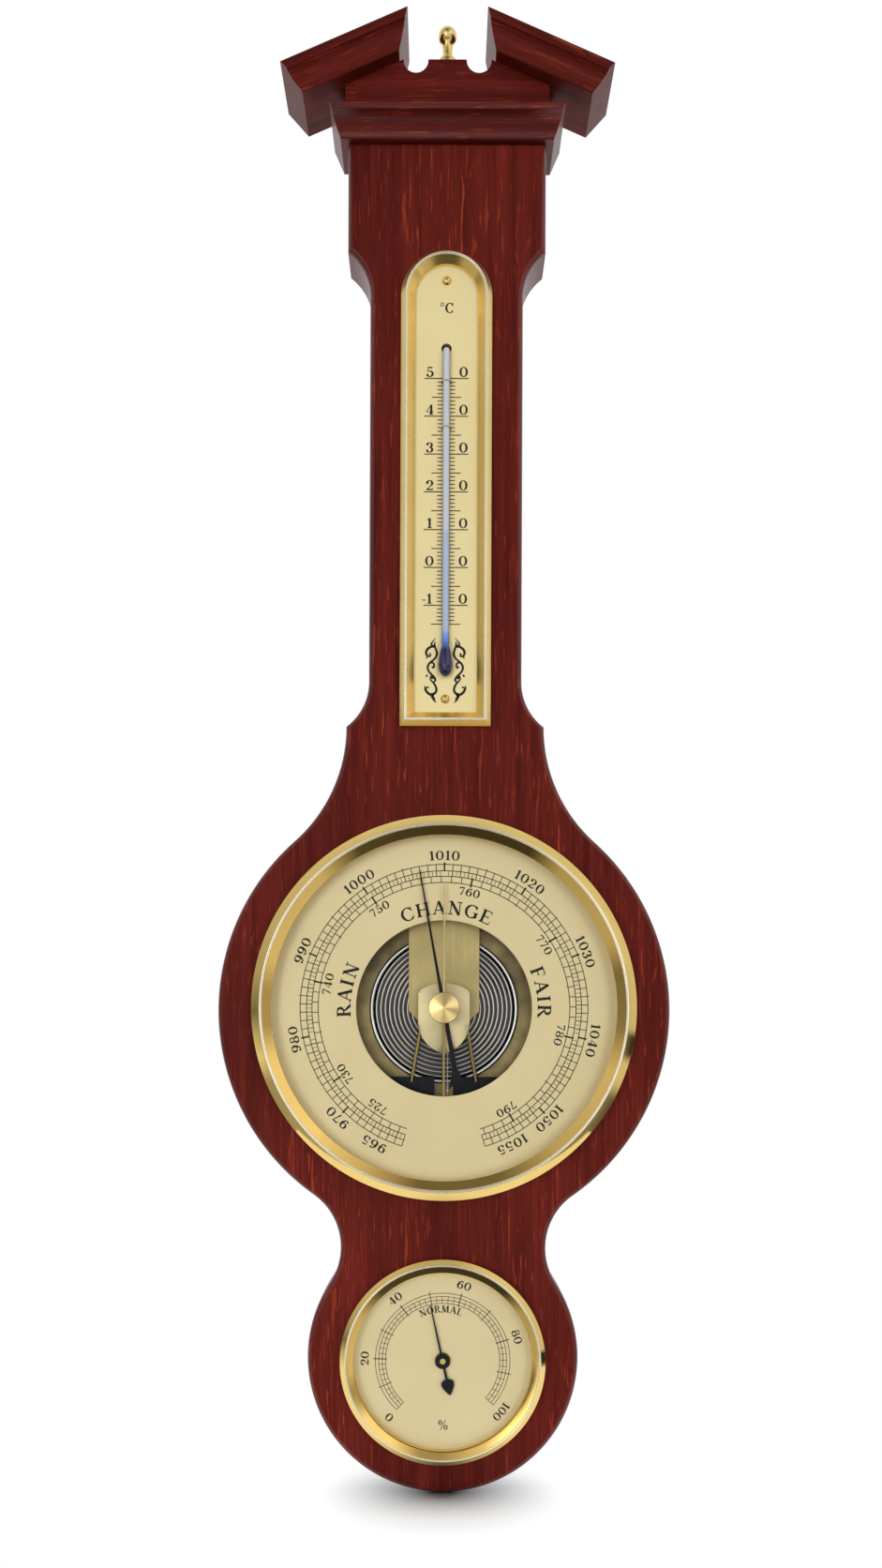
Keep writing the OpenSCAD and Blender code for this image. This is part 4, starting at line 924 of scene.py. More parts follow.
def spirit_column():
    """The tube's inside from the bulb's tip up to its bend."""
    bulb_steps = 28
    tube_steps = 59
    r = TUBE_R - TUBE_WALL
    bulb_top = BULB_UP + BULB_L
    tube_top = TUBE_UP - TUBE_BEND
    profile = []
    for i in range(bulb_steps + 1):
        t = i / bulb_steps
        bulb_r = bulb_radius(t, BULB_R + BULB_SWELL, TUBE_R) - TUBE_WALL
        profile.append((max(bulb_r, TIP_R), BULB_UP + BULB_L * t))
    profile += [(r, bulb_top + (tube_top - bulb_top) * i / tube_steps) for i in range(1, tube_steps + 1)]
    profile += arc(TIP_R / 2, tube_top, r, 0, 90, 6, 1)
    return upright_lathe("spirit_column", profile, FRAME_UP, TUBE_LEVEL, spirit, 60, 32)


add_piece(spirit_column(), "root", "spirit", "thermometer_spirit")


# Finial

def finial():
    """A turned pin: round foot, flared neck and ball."""
    profile = [(TIP_R, -FINIAL_PIN_L), (FINIAL_PIN_R, -FINIAL_PIN_L), (FINIAL_PIN_R, 0.0), (4.0, 0.0),
               (4.1, 0.4), (4.1, 2.7), (3.9, 3.2), (3.2, 3.6), (2.6, 4.3), (2.3, 5.4), (2.15, 6.8),
               (2.1, 8.2), (2.2, 9.4), (2.45, 10.2)]
    profile += arc(0, FINIAL_H - FINIAL_R, FINIAL_R, -46, 88, 18)
    return upright_lathe("turned_finial", profile, FINIAL_UP, FINIAL_LEVEL, turned_brass, 35, 48)


add_piece(finial(), "root", "brass", "finial")


# Bezels

def bezel(name, up, foot, crest, height, lip, seat, lip_under, skirt, steps):
    """Skirt, upright wall, outer slope, two beads on the crest painted pale as a highlight, inner slope
    painted warmer as a reflection, and lip over the glass.
    """
    size = height / BEZEL_H
    shoulder = 0.72 * height
    edge = 0.2
    profile = [(seat, -SKIRT_L), (skirt, -SKIRT_L), (skirt, 0.0), (foot - 0.15, 0.0), (foot, 0.15)]
    profile += arc(foot - edge, shoulder - edge, edge, 0, 54, 6)
    first = len(profile)
    profile += bead(crest + 0.40 * size, 0.40 * size, height - 0.30 * size, 0.30 * size, 16)
    profile += bead(crest - 0.24 * size, 0.18 * size, height - 0.34 * size, 0.22 * size, 16)
    last = len(profile) - 1
    rest = lip_under + LIP_T
    profile += [(crest - 0.46 * size, height - 0.55 * size), (lip + 0.25, rest + 0.02), (lip, rest - 0.12)]
    profile += [(lip, lip_under), (seat, lip_under)]
    item = lathe(name, profile, up, brass, 12, steps)
    # The crest beads get the painted highlight.
    paint_strips(item, crest_highlight_brass, len(profile), range(first, last))
    # The inner slope gets the painted warm reflection.
    paint_strips(item, inner_reflection_brass, len(profile), range(last, last + 3))
    return add_piece(item, "root", "brass", name.replace("rim", "bezel"))


bezel("barometer_rim", 0, BEZEL_R, CREST_R, BEZEL_H, VIEW_R, SKIRT_IN, GLASS_FRONT, SKIRT_OUT, 240)
bezel("hygro_rim", -HYGRO_DROP, HYGRO_BEZEL_R, HYGRO_CREST_R, HYGRO_BEZEL_H, HYGRO_VIEW_R, HYGRO_SKIRT_IN,
      HYGRO_GLASS_FRONT, HYGRO_SKIRT_OUT, 180)


# Capsule

def ringed_capsule():
    """Front half of the capsule: a thick rolled rim, then narrow bright ridges over valleys with painted
    shade.
    """
    pitch = 1.9
    ridge = 0.38
    floor = CAPSULE_TOP - ridge - 0.35
    profile = [(BOSS_HOLE_R, CAPSULE_SEAM), (CAPSULE_R, CAPSULE_SEAM)]
    profile += arc(CAPSULE_R - 1.0, CAPSULE_SEAM + 1.2, 1.0, -30, 180, 12)
    profile += [(CAPSULE_R - 2.1, CAPSULE_SEAM + 0.4), (CAPSULE_R - 2.6, floor)]
    dark = {len(profile) - 3, len(profile) - 2, len(profile) - 1}
    for k in range(CAPSULE_RINGS):
        centre = CAPSULE_R - 3.1 - k * pitch
        profile += arc(centre, CAPSULE_TOP - ridge, ridge, 0, 180, 8)
        profile += [(centre - ridge - 0.1, floor), (centre - pitch + ridge + 0.1, floor)]
        dark |= {len(profile) - 3, len(profile) - 2, len(profile) - 1}
    profile += [(5.0, CAPSULE_TOP - 0.2), (4.8, CAPSULE_TOP), (BOSS_HOLE_R, CAPSULE_TOP)]
    item = lathe("ringed_capsule", profile, 0, silver, sharp=50)
    # The valleys get the painted shade.
    paint_strips(item, painted_shade_nickel, len(profile), dark)
    return item


def capsule_boss():
    """Middle of the capsule, which moves in and out with its post."""
    r = BOSS_HOLE_R - 0.25
    low = CAPSULE_TOP - 1.0
    profile = [(0.4, low), (r, low), (r, CAPSULE_TOP - 0.1), (r - 0.1, CAPSULE_TOP), (0.4, CAPSULE_TOP)]
    return lathe("capsule_boss", profile, 0, silver, 50, 96)


add_piece(ringed_capsule(), "root", "capsule_silver", "capsule_front")
add_piece(capsule_boss(), "spring_lever", "capsule_silver")


# Leaf spring and chain, which bend

def on_axis(up):
    """A height above the barometer's middle as a place in metres on the object's middle line."""
    return Vector(spot(0, up, 0))


def leaf_spring():
    """The spring as modelled, cut across below its clamp so that it can bend there."""
    mesh = nodes["main_spring"].data.copy()
    work = bmesh.new()
    work.from_mesh(mesh)
    bmesh.ops.remove_doubles(work, verts=work.verts, dist=WELD)
    for i in range(BEND_CUTS + 1):
        geometry = work.verts[:] + work.edges[:] + work.faces[:]
        cut = on_axis(CLAMP_UP - BEND_L * i / BEND_CUTS)
        bmesh.ops.bisect_plane(work, geom=geometry, plane_co=cut, plane_no=(0, 0, 1))
    work.to_mesh(mesh)
    work.free()
    item = new_item("leaf_spring", mesh)
    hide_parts("main_spring")
    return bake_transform(item)


def chain_links():
    """Flat links, thin and thick in turn, from the rocking shaft's arm up to the drum."""
    low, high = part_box("chain")
    x = (low.x + high.x) / 2
    y = (low.y + high.y) / 2
    count = round((high.z - low.z) / (CHAIN_PITCH * MM))
    pitch = (high.z - low.z) / count
    vertices = []
    faces = []
    for k in range(count):
        half = LINK_HALVES[k % 2] * MM
        lap = LINK_LAP * MM if k < count - 1 else 0
        outline = capsule(LINK_W * MM, low.z + k * pitch, low.z + (k + 1) * pitch + lap, 6)
        faces += skin(len(outline), 2, len(vertices))
        vertices += [(x + side * half, y + across, z) for side in (-1, 1) for across, z in outline]
    item = make_object("chain_links", vertices, faces, steel, 40)
    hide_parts("chain")
    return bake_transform(item)


leaf_spring()
chain_links()


# Knob, shield and set hand

def knob():
    """Turned knob with a finely notched rim, on its shaft through the glass."""
    around = 6 * KNURLS
    tooth = 0.22
    rows = [(SET_SHAFT_R, SET_LEVEL, 0), (SET_SHAFT_R, KNOB_LOW, 0), (KNOB_R - 0.45, KNOB_LOW, 0),
            (KNOB_R - 0.05, KNOB_LOW + 0.35, 1), (KNOB_R, KNOB_LOW + 0.5, 1), (KNOB_R, KNOB_TOP - 1.0, 1),
            (KNOB_R - 0.05, KNOB_TOP - 0.9, 1), (KNOB_R - 0.28, KNOB_TOP - 0.68, 0),
            (KNOB_R * 0.5, KNOB_TOP - 0.34, 0), (0.3, KNOB_TOP, 0)]
    vertices = []
    for r, level, cut in rows:
        for k in range(around):
            turn = 2 * math.pi * k / around
            reach = r - tooth * cut * (0.5 - 0.5 * math.cos(KNURLS * turn))
            vertices.append(spot(reach * math.cos(turn), reach * math.sin(turn), level))
    return make_object("turned_knob", vertices, skin(around, len(rows)), knob_brass, 30)


add_piece(knob(), "set_pointer", "brass", "set_knob")


def inside_shield(x, up):
    """Whether a point lies within the bridge's shield outline."""
    half = SHIELD_W / 2
    if abs(x) > half or x ** 2 + (up - SHIELD_TOP + SHIELD_TOP_R) ** 2 > SHIELD_TOP_R ** 2:
        return False
    reach = abs(x) + SHIELD_TIP_R - half
    return up > SHIELD_CORNER or reach ** 2 + (up - SHIELD_CORNER) ** 2 < SHIELD_TIP_R ** 2


def shield():
    """Bridge plate with the part's outline, a soft edge and a slight dome."""
    steps = 144
    rings = (0.985, 0.8, 0.6, 0.4, 0.2)
    vertices = []
    for k in range(steps):
        turn = 2 * math.pi * k / steps
        across, upward = math.sin(turn), math.cos(turn)
        low, high = 0.0, 30.0
        while high - low > 0.001:
            middle = (low + high) / 2
            if inside_shield(middle * across, middle * upward):
                low = middle
            else:
                high = middle
        profile = [(ARBOR_HOLE_R, SHIELD_BACK), (low, SHIELD_BACK), (low, SHIELD_FRONT - SHIELD_DOME - 0.12)]
        for part in rings:
            profile.append((part * low, SHIELD_FRONT - SHIELD_DOME * (part * low / SHIELD_TIP_R) ** 2))
        profile.append((ARBOR_HOLE_R, SHIELD_FRONT))
        vertices += [spot(r * across, r * upward, level) for r, level in profile]
    return make_object("domed_shield", vertices, skin(len(profile), steps, closed=True), shield_brass, 50)


add_piece(shield(), "root", "brass", "arbor_bridge")


def set_hand():
    """Half-round hand with a pale upper end, a duller tail and a round hub on the shaft."""
    sides = 8
    around = sides + 1
    rows = [(-SET_TAIL, 0.50), (-30.0, 0.52), (0.0, 0.52), (0.01, 0.46), (SET_L - 3.0, 0.40), (SET_L, 0.06)]
    tail_rows = 2
    vertices = []
    for up, half in rows:
        vertices += [spot(x, up, level) for x, level in bead(0, half, SET_LEVEL, SET_T, sides)]
    steps = 48
    rim = [(SET_SHAFT_R, 0.0), (SET_HUB_R, 0.0), (SET_HUB_R, SET_T - 0.1), (SET_HUB_R - 0.1, SET_T),
           (SET_SHAFT_R, SET_T)]
    faces = skin(around, len(rows)) + skin(len(rim), steps, len(vertices), closed=True)
    for x, up in circle(0, 0, 1, steps):
        vertices += [spot(r * x, r * up, SET_LEVEL + rise) for r, rise in rim]
    item = make_object("set_hand_bar", vertices, faces, hand_brass, 40)
    item.data.materials.append(tail_brass)
    for face in item.data.polygons[2:2 + tail_rows * around]:
        face.material_index = 1
    return item


add_piece(set_hand(), "set_pointer", "brass", "set_hand")


# Printed letters: each stroke is a line of points with a width, in units of the letter's height

THICK = 0.225
THIN = 0.082
STEM = 0.210
HAIR = 0.080
INK_T = 0.03


def line(x0, y0, x1, y1, w0, w1=None):
    return [(x0, y0, w0), (x1, y1, w0 if w1 is None else w1)]


def bowl(cx, cy, rx, ry, start, end, thick, thin):
    """A curved stroke that is thick at its sides and thin at its top and foot."""
    steps = max(8, int(abs(end - start) / 12))
    stroke = []
    for i in range(steps + 1):
        a = math.radians(start + (end - start) * i / steps)
        width = thin + (thick - thin) * abs(math.cos(a)) ** 1.5
        stroke.append((cx + rx * math.cos(a), cy + ry * math.sin(a), width))
    return stroke


def oval(cx, cy, rx, ry, thick=THICK, thin=THIN):
    return bowl(cx, cy, rx, ry, 0, 360, thick, thin)


def bar(x0, x1, y, width=HAIR):
    return line(x0, y, x1, y, width)


def foot(x, half=0.15):
    return bar(x - half, x + half, HAIR / 2)


def cap(x, half=0.15):
    return bar(x - half, x + half, 1 - HAIR / 2)


def stem(x, width=STEM):
    return line(x, 0, x, 1, width)


def ball(x, y, r=0.055):
    return oval(x, y, r, r, 2 * r, 2 * r)


def turned(strokes, width):
    return [[(width - x, 1 - y, w) for x, y, w in stroke] for stroke in strokes]


SIX = [oval(0.38, 0.31, 0.285, 0.28), bowl(0.62, 0.33, 0.525, 0.635, 178, 102, THICK, 0.075),
       ball(0.61, 0.86)]
LETTERS = {
    "0": (0.82, [oval(0.41, 0.5, 0.315, 0.467)]),
    "1": (0.48, [stem(0.26, THICK), line(0.24, 0.93, 0.03, 0.80, THIN), foot(0.26, 0.23)]),
    "2": (0.74, [bowl(0.36, 0.70, 0.26, 0.267, 175, -38, THICK, THIN),
                 line(0.57, 0.54, 0.11, 0.10, 0.13, 0.07), bar(0.05, 0.66, 0.075, 0.15),
                 line(0.66, 0.03, 0.71, 0.28, 0.055), ball(0.15, 0.71)]),
    "3": (0.72, [bowl(0.32, 0.745, 0.24, 0.222, 155, -90, THICK, THIN), ball(0.13, 0.79),
                 bowl(0.32, 0.275, 0.285, 0.242, 90, -155, THICK, THIN), ball(0.11, 0.20)]),
    "4": (0.78, [stem(0.52, THICK), line(0.50, 0.97, 0.05, 0.30, 0.07), bar(0.02, 0.76, 0.29, 0.08),
                 foot(0.52, 0.20)]),
    "5": (0.72, [bar(0.14, 0.60, 0.93, 0.14), line(0.15, 0.98, 0.125, 0.48, 0.06),
                 bowl(0.33, 0.315, 0.285, 0.282, 125, -155, THICK, THIN), ball(0.11, 0.19)]),
    "6": (0.76, SIX),
    "7": (0.70, [bar(0.05, 0.66, 0.925, 0.15), line(0.62, 0.91, 0.27, 0, 0.075, 0.18),
                 line(0.07, 0.98, 0.05, 0.70, 0.055)]),
    "8": (0.76, [oval(0.38, 0.745, 0.235, 0.222, 0.155), oval(0.38, 0.275, 0.285, 0.242)]),
    "9": (0.76, turned(SIX, 0.76)),
    "-": (0.40, [bar(0.03, 0.37, 0.36, 0.10)]),
    "o": (0.40, [oval(0.20, 0.82, 0.155, 0.155, 0.07, 0.07)]),
    "%": (0.98, [oval(0.22, 0.74, 0.14, 0.22, 0.13, 0.06), oval(0.76, 0.26, 0.14, 0.22, 0.13, 0.06),
                 line(0.22, 0, 0.76, 1, 0.07)]),
    "A": (0.82, [line(0.10, 0, 0.40, 1, HAIR), line(0.39, 1, 0.71, 0, STEM), bar(0.20, 0.60, 0.33),
                 foot(0.10, 0.11), foot(0.71, 0.14)]),
    "C": (0.80, [bowl(0.44, 0.5, 0.35, 0.47, 40, 320, STEM, HAIR),
                 line(0.715, 0.985, 0.725, 0.66, 0.05, 0.075), line(0.725, 0.34, 0.705, 0.10, 0.035)]),
    "E": (0.72, [stem(0.18), bar(0.03, 0.62, 0.97), bar(0.03, 0.66, 0.03), bar(0.18, 0.50, 0.51),
                 line(0.61, 0.99, 0.63, 0.75, 0.07, 0.04), line(0.65, 0.01, 0.69, 0.27, 0.07, 0.04),
                 line(0.50, 0.40, 0.50, 0.62, 0.05)]),
    "F": (0.68, [stem(0.18), bar(0.03, 0.60, 0.97), foot(0.18), bar(0.18, 0.48, 0.50),
                 line(0.59, 0.99, 0.61, 0.73, 0.07, 0.04), line(0.48, 0.39, 0.48, 0.61, 0.05)]),
    "G": (0.86, [bowl(0.44, 0.5, 0.35, 0.47, 40, 325, STEM, HAIR),
                 line(0.715, 0.985, 0.725, 0.68, 0.05, 0.075), line(0.72, 0.06, 0.72, 0.42, STEM),
                 bar(0.56, 0.86, 0.43)]),
    "H": (0.88, [stem(0.18), stem(0.70), bar(0.18, 0.70, 0.51), foot(0.18), cap(0.18), foot(0.70),
                 cap(0.70)]),
    "I": (0.40, [stem(0.20), foot(0.20), cap(0.20)]),
    "L": (0.68, [stem(0.18), cap(0.18), bar(0.03, 0.60, 0.03), line(0.59, 0.01, 0.63, 0.29, 0.07, 0.04)]),
    "M": (1.02, [line(0.16, 0, 0.18, 1, HAIR), line(0.20, 1, 0.50, 0.03, STEM),
                 line(0.50, 0.03, 0.80, 1, HAIR), stem(0.83), foot(0.16, 0.12), foot(0.83)]),
    "N": (0.88, [stem(0.17, HAIR), line(0.15, 1, 0.71, 0, STEM), stem(0.71, HAIR), foot(0.17, 0.14),
                 cap(0.71, 0.14), cap(0.12, 0.1)]),
    "O": (0.86, [oval(0.43, 0.5, 0.34, 0.47, STEM, HAIR)]),
    "R": (0.80, [stem(0.18), foot(0.18), bar(0.03, 0.36, 0.97),
                 bowl(0.34, 0.745, 0.225, 0.232, 90, -90, STEM, HAIR), bar(0.18, 0.36, 0.51),
                 line(0.36, 0.51, 0.70, 0.02, 0.11, STEM), bar(0.64, 0.83, 0.03)]),
}


class Print:
    """Ink on a flat face: strokes become thin closed plates on it."""

    def __init__(self, level):
        self.level = level
        self.vertices = []
        self.faces = []

    def stroke(self, points, closed=False):
        """A ribbon through points of x, height and width."""
        count = len(points)
        left = []
        right = []
        for i, (x, up, width) in enumerate(points):
            before = points[i - 1 if closed else max(i - 1, 0)]
            after = points[(i + 1) % count if closed else min(i + 1, count - 1)]
            along = Vector((after[0] - before[0], after[1] - before[1])).normalized()
            left.append((x - along.y * width / 2, up + along.x * width / 2))
            right.append((x + along.y * width / 2, up - along.x * width / 2))
        self.plate(left, right, closed)

    def plate(self, left, right, closed=False):
        """A ribbon plate between two edges, as a ring where it is closed, made of four-sided faces."""
        first = len(self.vertices)
        count = len(left)
        for edge, level in ((left, 0), (right, 0), (left, INK_T), (right, INK_T)):
            self.vertices += [spot(x, up, self.level + level) for x, up in edge]
        a, b, c, d = (first + k * count for k in range(4))
        for i in range(count if closed else count - 1):
            j = (i + 1) % count
            self.faces += [[a + i, b + i, b + j, a + j], [c + i, c + j, d + j, d + i],
                           [a + i, a + j, c + j, c + i], [b + i, d + i, d + j, b + j]]
        if not closed:
            end = count - 1
            self.faces += [[a, c, d, b], [a + end, b + end, d + end, c + end]]

    def letter(self, name, x, up, size, turn=0.0, stretch=1.0):
        """One letter whose foot is centred at a point, turned clockwise."""
        width, strokes = LETTERS[name]
        across = math.cos(turn)
        slant = math.sin(turn)
        for stroke in strokes:
            placed = []
            for gx, gy, w in stroke:
                px = (gx - width / 2) * size * stretch
                py = gy * size
                placed.append((x + px * across + py * slant, up - px * slant + py * across, w * size))
            first, last = stroke[0], stroke[-1]
            whole = len(stroke) > 4 and abs(first[0] - last[0]) < NEAR and abs(first[1] - last[1]) < NEAR
            self.stroke(placed[:-1] if whole else placed, whole)

    def word_on_arc(self, word, up, r, angle, size, spacing=0.0, stretch=1.0):
        """Letters round a centre with their heads outwards, middled on an angle in degrees from upright."""
        widths = [(LETTERS[c][0] * stretch + spacing) * size for c in word]
        travelled = -sum(widths) / 2
        for c, width in zip(word, widths):
            turn = math.radians(angle) + (travelled + width / 2) / (r + size / 2)
            self.letter(c, r * math.sin(turn), up + r * math.cos(turn), size, turn, stretch)
            travelled += width

    def radial(self, up, r_in, r_out, angle, width):
        """A tick along a radius."""
        turn = math.radians(angle)
        self.stroke([(r * math.sin(turn), up + r * math.cos(turn), width) for r in (r_in, r_out)])

    def curve(self, points, steps=10):
        """A smooth stroke through points of x, height and width."""
        smooth = []
        last = len(points) - 1
        for i in range(last):
            near = [points[min(max(i + k, 0), last)] for k in (-1, 0, 1, 2)]
            for k in range(steps):
                t = k / steps
                smooth.append([0.5 * (2 * b + (c - a) * t + (2 * a - 5 * b + 4 * c - d) * t ** 2
                                      + (3 * b - a - 3 * c + d) * t ** 3) for a, b, c, d in zip(*near)])
        smooth.append(points[-1])
        self.stroke([(x, up, max(width, 0.08)) for x, up, width in smooth])

    def ring_line(self, up, r, start, end, width):
        """A line round a centre between two angles in degrees from upright."""
        steps = max(12, int(abs(end - start) / 1.5))
        points = []
        for i in range(steps + 1):
            turn = math.radians(start + (end - start) * i / steps)
            points.append((r * math.sin(turn), up + r * math.cos(turn), width))
        self.stroke(points)

    def piece(self, name, material=ink, slot="black"):
        return add_piece(make_object(name, self.vertices, self.faces, material), "root", slot)


# Barometer dial: hectopascals outside, millimetres of mercury inside

HPA_LOW = 962
HPA_HIGH = 1058
HPA_TOP = 1010
HPA_DEGREES = 3.4
MMHG_ZERO = 757.31
MMHG_DEGREES = 4.53
BAND = (60.5, 57.8, 55.5, 52.9)
FINE = 0.35
TICK = 0.34
HALF_TICK = 0.20
FIVE = 0.32
BOLD = 0.70
HPA_NUMBER_R = 62.3
HPA_NUMBER_H = 3.95
MMHG_NUMBER_R = 48.2
NUMBER_H = 3.4

# Weather words: radius of the foot, angle, height, spacing and stretch
WEATHER = {"RAIN": (39.3, -79.6, 5.7, 0.19, 1.2), "CHANGE": (39.5, 1.3, 5.6, 0.19, 1.22),
           "FAIR": (39.4, 80.4, 5.6, 0.20, 1.2)}


def hpa_angle(hpa):
    return (hpa - HPA_TOP) * HPA_DEGREES


def mmhg_angle(mmhg):
    return (mmhg - MMHG_ZERO) * MMHG_DEGREES


def barometer_print():
    p = Print(DIAL_LEVEL)
    start = hpa_angle(HPA_LOW)
    end = hpa_angle(HPA_HIGH)
    outer, second, third, inner = BAND
    for r in BAND:
        p.ring_line(0, r, start, end, FINE)
    for half in range(2 * HPA_LOW, 2 * HPA_HIGH + 1):
        hpa = half / 2
        if half % 2:
            tick = (third, second, HALF_TICK)
        elif hpa % 10 == 0:
            tick = (second, outer + 0.8, BOLD)
        elif hpa % 5 == 0:
            tick = (third, outer + 0.7, FIVE)
        else:
            tick = (third, outer, TICK)
        p.radial(0, *tick[:2], hpa_angle(hpa), tick[2])
    for mmhg in range(720, 796):
        angle = mmhg_angle(mmhg)
        if not start <= angle <= end:
            continue
        if mmhg % 10 == 0:
            p.radial(0, inner - 1.0, third + 0.4, angle, BOLD)
        elif mmhg % 5 == 0:
            p.radial(0, inner - 0.7, third, angle, FIVE)
        else:
            p.radial(0, inner, third, angle, TICK)
    for hpa in (965, *range(970, 1051, 10), 1055):
        p.word_on_arc(str(hpa), 0, HPA_NUMBER_R, hpa_angle(hpa), HPA_NUMBER_H, 0.20)
    for mmhg in (725, *range(730, 791, 10)):
        p.word_on_arc(str(mmhg), 0, MMHG_NUMBER_R, mmhg_angle(mmhg), NUMBER_H, 0.16)
    for word, place in WEATHER.items():
        p.word_on_arc(word, 0, *place)
    return p.piece("barometer_print")


barometer_print()


# Hygrometer dial: per cent

HYGRO_BAND = (28.3, 26.9, 25.4, 24.0)
PERCENT_START = -137.0
PERCENT_DEGREES = 2.349
PERCENT_GROWTH = 0.00331
PERCENT_NUMBER_R = 31.1
NORMAL = (20.2, -2.2, 3.0, 0.12, 1.1)
PERCENT_SIGN_X = 0.2
PERCENT_SIGN_DOWN = 29.2
PERCENT_SIGN_H = 4.2


def percent_angle(percent):
    """Place of a humidity on the scale, whose steps grow a little wider towards the damp end."""
    return PERCENT_START + PERCENT_DEGREES * percent + PERCENT_GROWTH * percent ** 2


def hygro_print():
    p = Print(HYGRO_DIAL_LEVEL)
    outer, second, third, inner = HYGRO_BAND
    for r in HYGRO_BAND:
        p.ring_line(-HYGRO_DROP, r, percent_angle(0), percent_angle(100), 0.25)
    for percent in range(0, 101, 2):
        if percent in (0, 100):
            tick = (inner, outer, 0.24)
        elif percent % 20 == 0:
            tick = (inner - 0.5, outer + 0.9, 0.40)
        elif percent % 10 == 0:
            tick = (inner - 0.9, outer + 1.0, FIVE)
        else:
            tick = (inner, second, 0.22)
        p.radial(-HYGRO_DROP, *tick[:2], percent_angle(percent), tick[2])
    for percent in range(0, 101, 20):
        p.word_on_arc(str(percent), -HYGRO_DROP, PERCENT_NUMBER_R, percent_angle(percent), NUMBER_H, 0.14)
    p.word_on_arc("NORMAL", -HYGRO_DROP, *NORMAL)
    p.letter("%", PERCENT_SIGN_X, -HYGRO_DROP - PERCENT_SIGN_DOWN, PERCENT_SIGN_H)
    return p.piece("hygro_print")


hygro_print()


# Thermometer plate

VINE_WEIGHT = 1.65
LINING_LEVEL = -0.3
LINING_SWELL = 0.1


def bulb_lining():
    """Gilt strips that close the plate's slot up to the bulb."""
    p = Print(LINING_LEVEL)
    steps = 48
    r = BULB_SLOT_W / 2
    low = BULB_SLOT_LOW
    high = BULB_SLOT_HIGH
    for side in (-1, 1):
        outer = []
        inner = []
        for i in range(steps + 1):
            up = low + (high - low) * i / steps
            past = max(low + r - up, up - high + r, 0.0)
            half = math.sqrt(max(r ** 2 - past ** 2, 0.0004))
            t = (up - BULB_UP) / BULB_L
            core = bulb_radius(t, BULB_R + LINING_SWELL, TUBE_R) if t > 0 else 0.0
            near = math.sqrt(max(core ** 2 - TUBE_LEVEL ** 2, 0.0))
            outer.append((side * half, FRAME_UP + up))
            inner.append((side * min(near, half - 0.01), FRAME_UP + up))
        p.plate(outer, inner)
    return p.piece("bulb_lining", plate_gilt, "gilt")


bulb_lining()


def scroll(p, side):
    """A printed vine beside the bulb: a waving stem with curls, buds and leaves.

    Points are distance from the frame's middle, height above its foot and width.
    """
    def draw(*points):
        p.curve([(side * x, FRAME_UP + up, VINE_WEIGHT * width) for x, up, width in points])

    def dot(x, up, r):
        ring = circle(x, up, r / 2, 12)
        p.stroke([(side * across, FRAME_UP + rise, r) for across, rise in ring], True)

    # Upper bud and stem
    draw((4.0, 37.7, 0.10), (5.3, 36.0, 0.34), (5.9, 34.9, 0.50), (5.2, 34.0, 0.45))
    draw((4.2, 36.0, 0.16), (4.6, 34.8, 0.52), (4.4, 34.0, 0.50))
    draw((4.6, 34.6, 0.50), (3.9, 32.5, 0.58), (3.6, 31.0, 0.58), (4.1, 29.3, 0.55), (5.5, 27.9, 0.52),
         (6.9, 26.6, 0.55), (7.4, 25.0, 0.58), (6.9, 23.5, 0.55), (5.8, 22.2, 0.55), (4.7, 21.0, 0.62),
         (4.2, 19.9, 0.60), (4.8, 18.9, 0.34))
    # Curl at the top
    draw((4.5, 33.8, 0.45), (6.1, 33.8, 0.62), (7.6, 32.7, 0.68), (8.1, 31.2, 0.62), (7.6, 30.1, 0.55),
         (6.6, 29.9, 0.50), (6.1, 30.6, 0.40))
    dot(6.5, 30.9, 0.42)
    draw((7.5, 29.8, 0.14), (7.8, 29.3, 0.42), (7.9, 28.8, 0.12))
    # Curl in the middle
    draw((6.4, 27.0, 0.30), (5.2, 27.1, 0.48), (4.7, 26.1, 0.50), (4.9, 25.1, 0.45), (5.5, 24.9, 0.40))
    dot(5.5, 25.3, 0.40)
    # Leaves at the crossing
    draw((7.4, 22.3, 0.12), (7.8, 21.6, 0.50), (8.0, 21.0, 0.14))
    draw((6.5, 21.6, 0.12), (5.8, 20.9, 0.85), (5.1, 20.2, 0.14))
    # Lower curl
    draw((6.7, 20.5, 0.16), (5.9, 19.6, 0.42), (4.8, 18.5, 0.50), (4.1, 17.3, 0.56), (3.7, 15.9, 0.60),
         (4.2, 14.5, 0.64), (5.9, 13.7, 0.70), (7.4, 14.5, 0.66), (8.3, 15.9, 0.62), (8.6, 17.5, 0.20))
    dot(7.3, 16.8, 0.42)
    draw((7.4, 16.9, 0.34), (8.0, 16.5, 0.34), (8.4, 16.0, 0.34))
    # Leaves at the foot
    draw((4.6, 14.2, 0.20), (5.3, 13.2, 0.62), (6.1, 12.5, 0.14))
    draw((5.5, 13.5, 0.30), (5.0, 12.2, 0.80), (4.5, 11.2, 0.52), (3.8, 10.2, 0.10))


# Ticks of the thermometer at tens, fives and single degrees: how far they reach, and their width
TEN_MARK = (9.3, 0.44)
FIVE_MARK = (6.15, 0.42)
MARK = (3.73, 0.40)
MARK_START = 1.4
DEGREE_H = 4.2
DEGREE_RISE = 0.65
UNITS_X = 7.26
TENS_X = -6.87
MINUS_X = -9.2
UNIT_H = 4.3


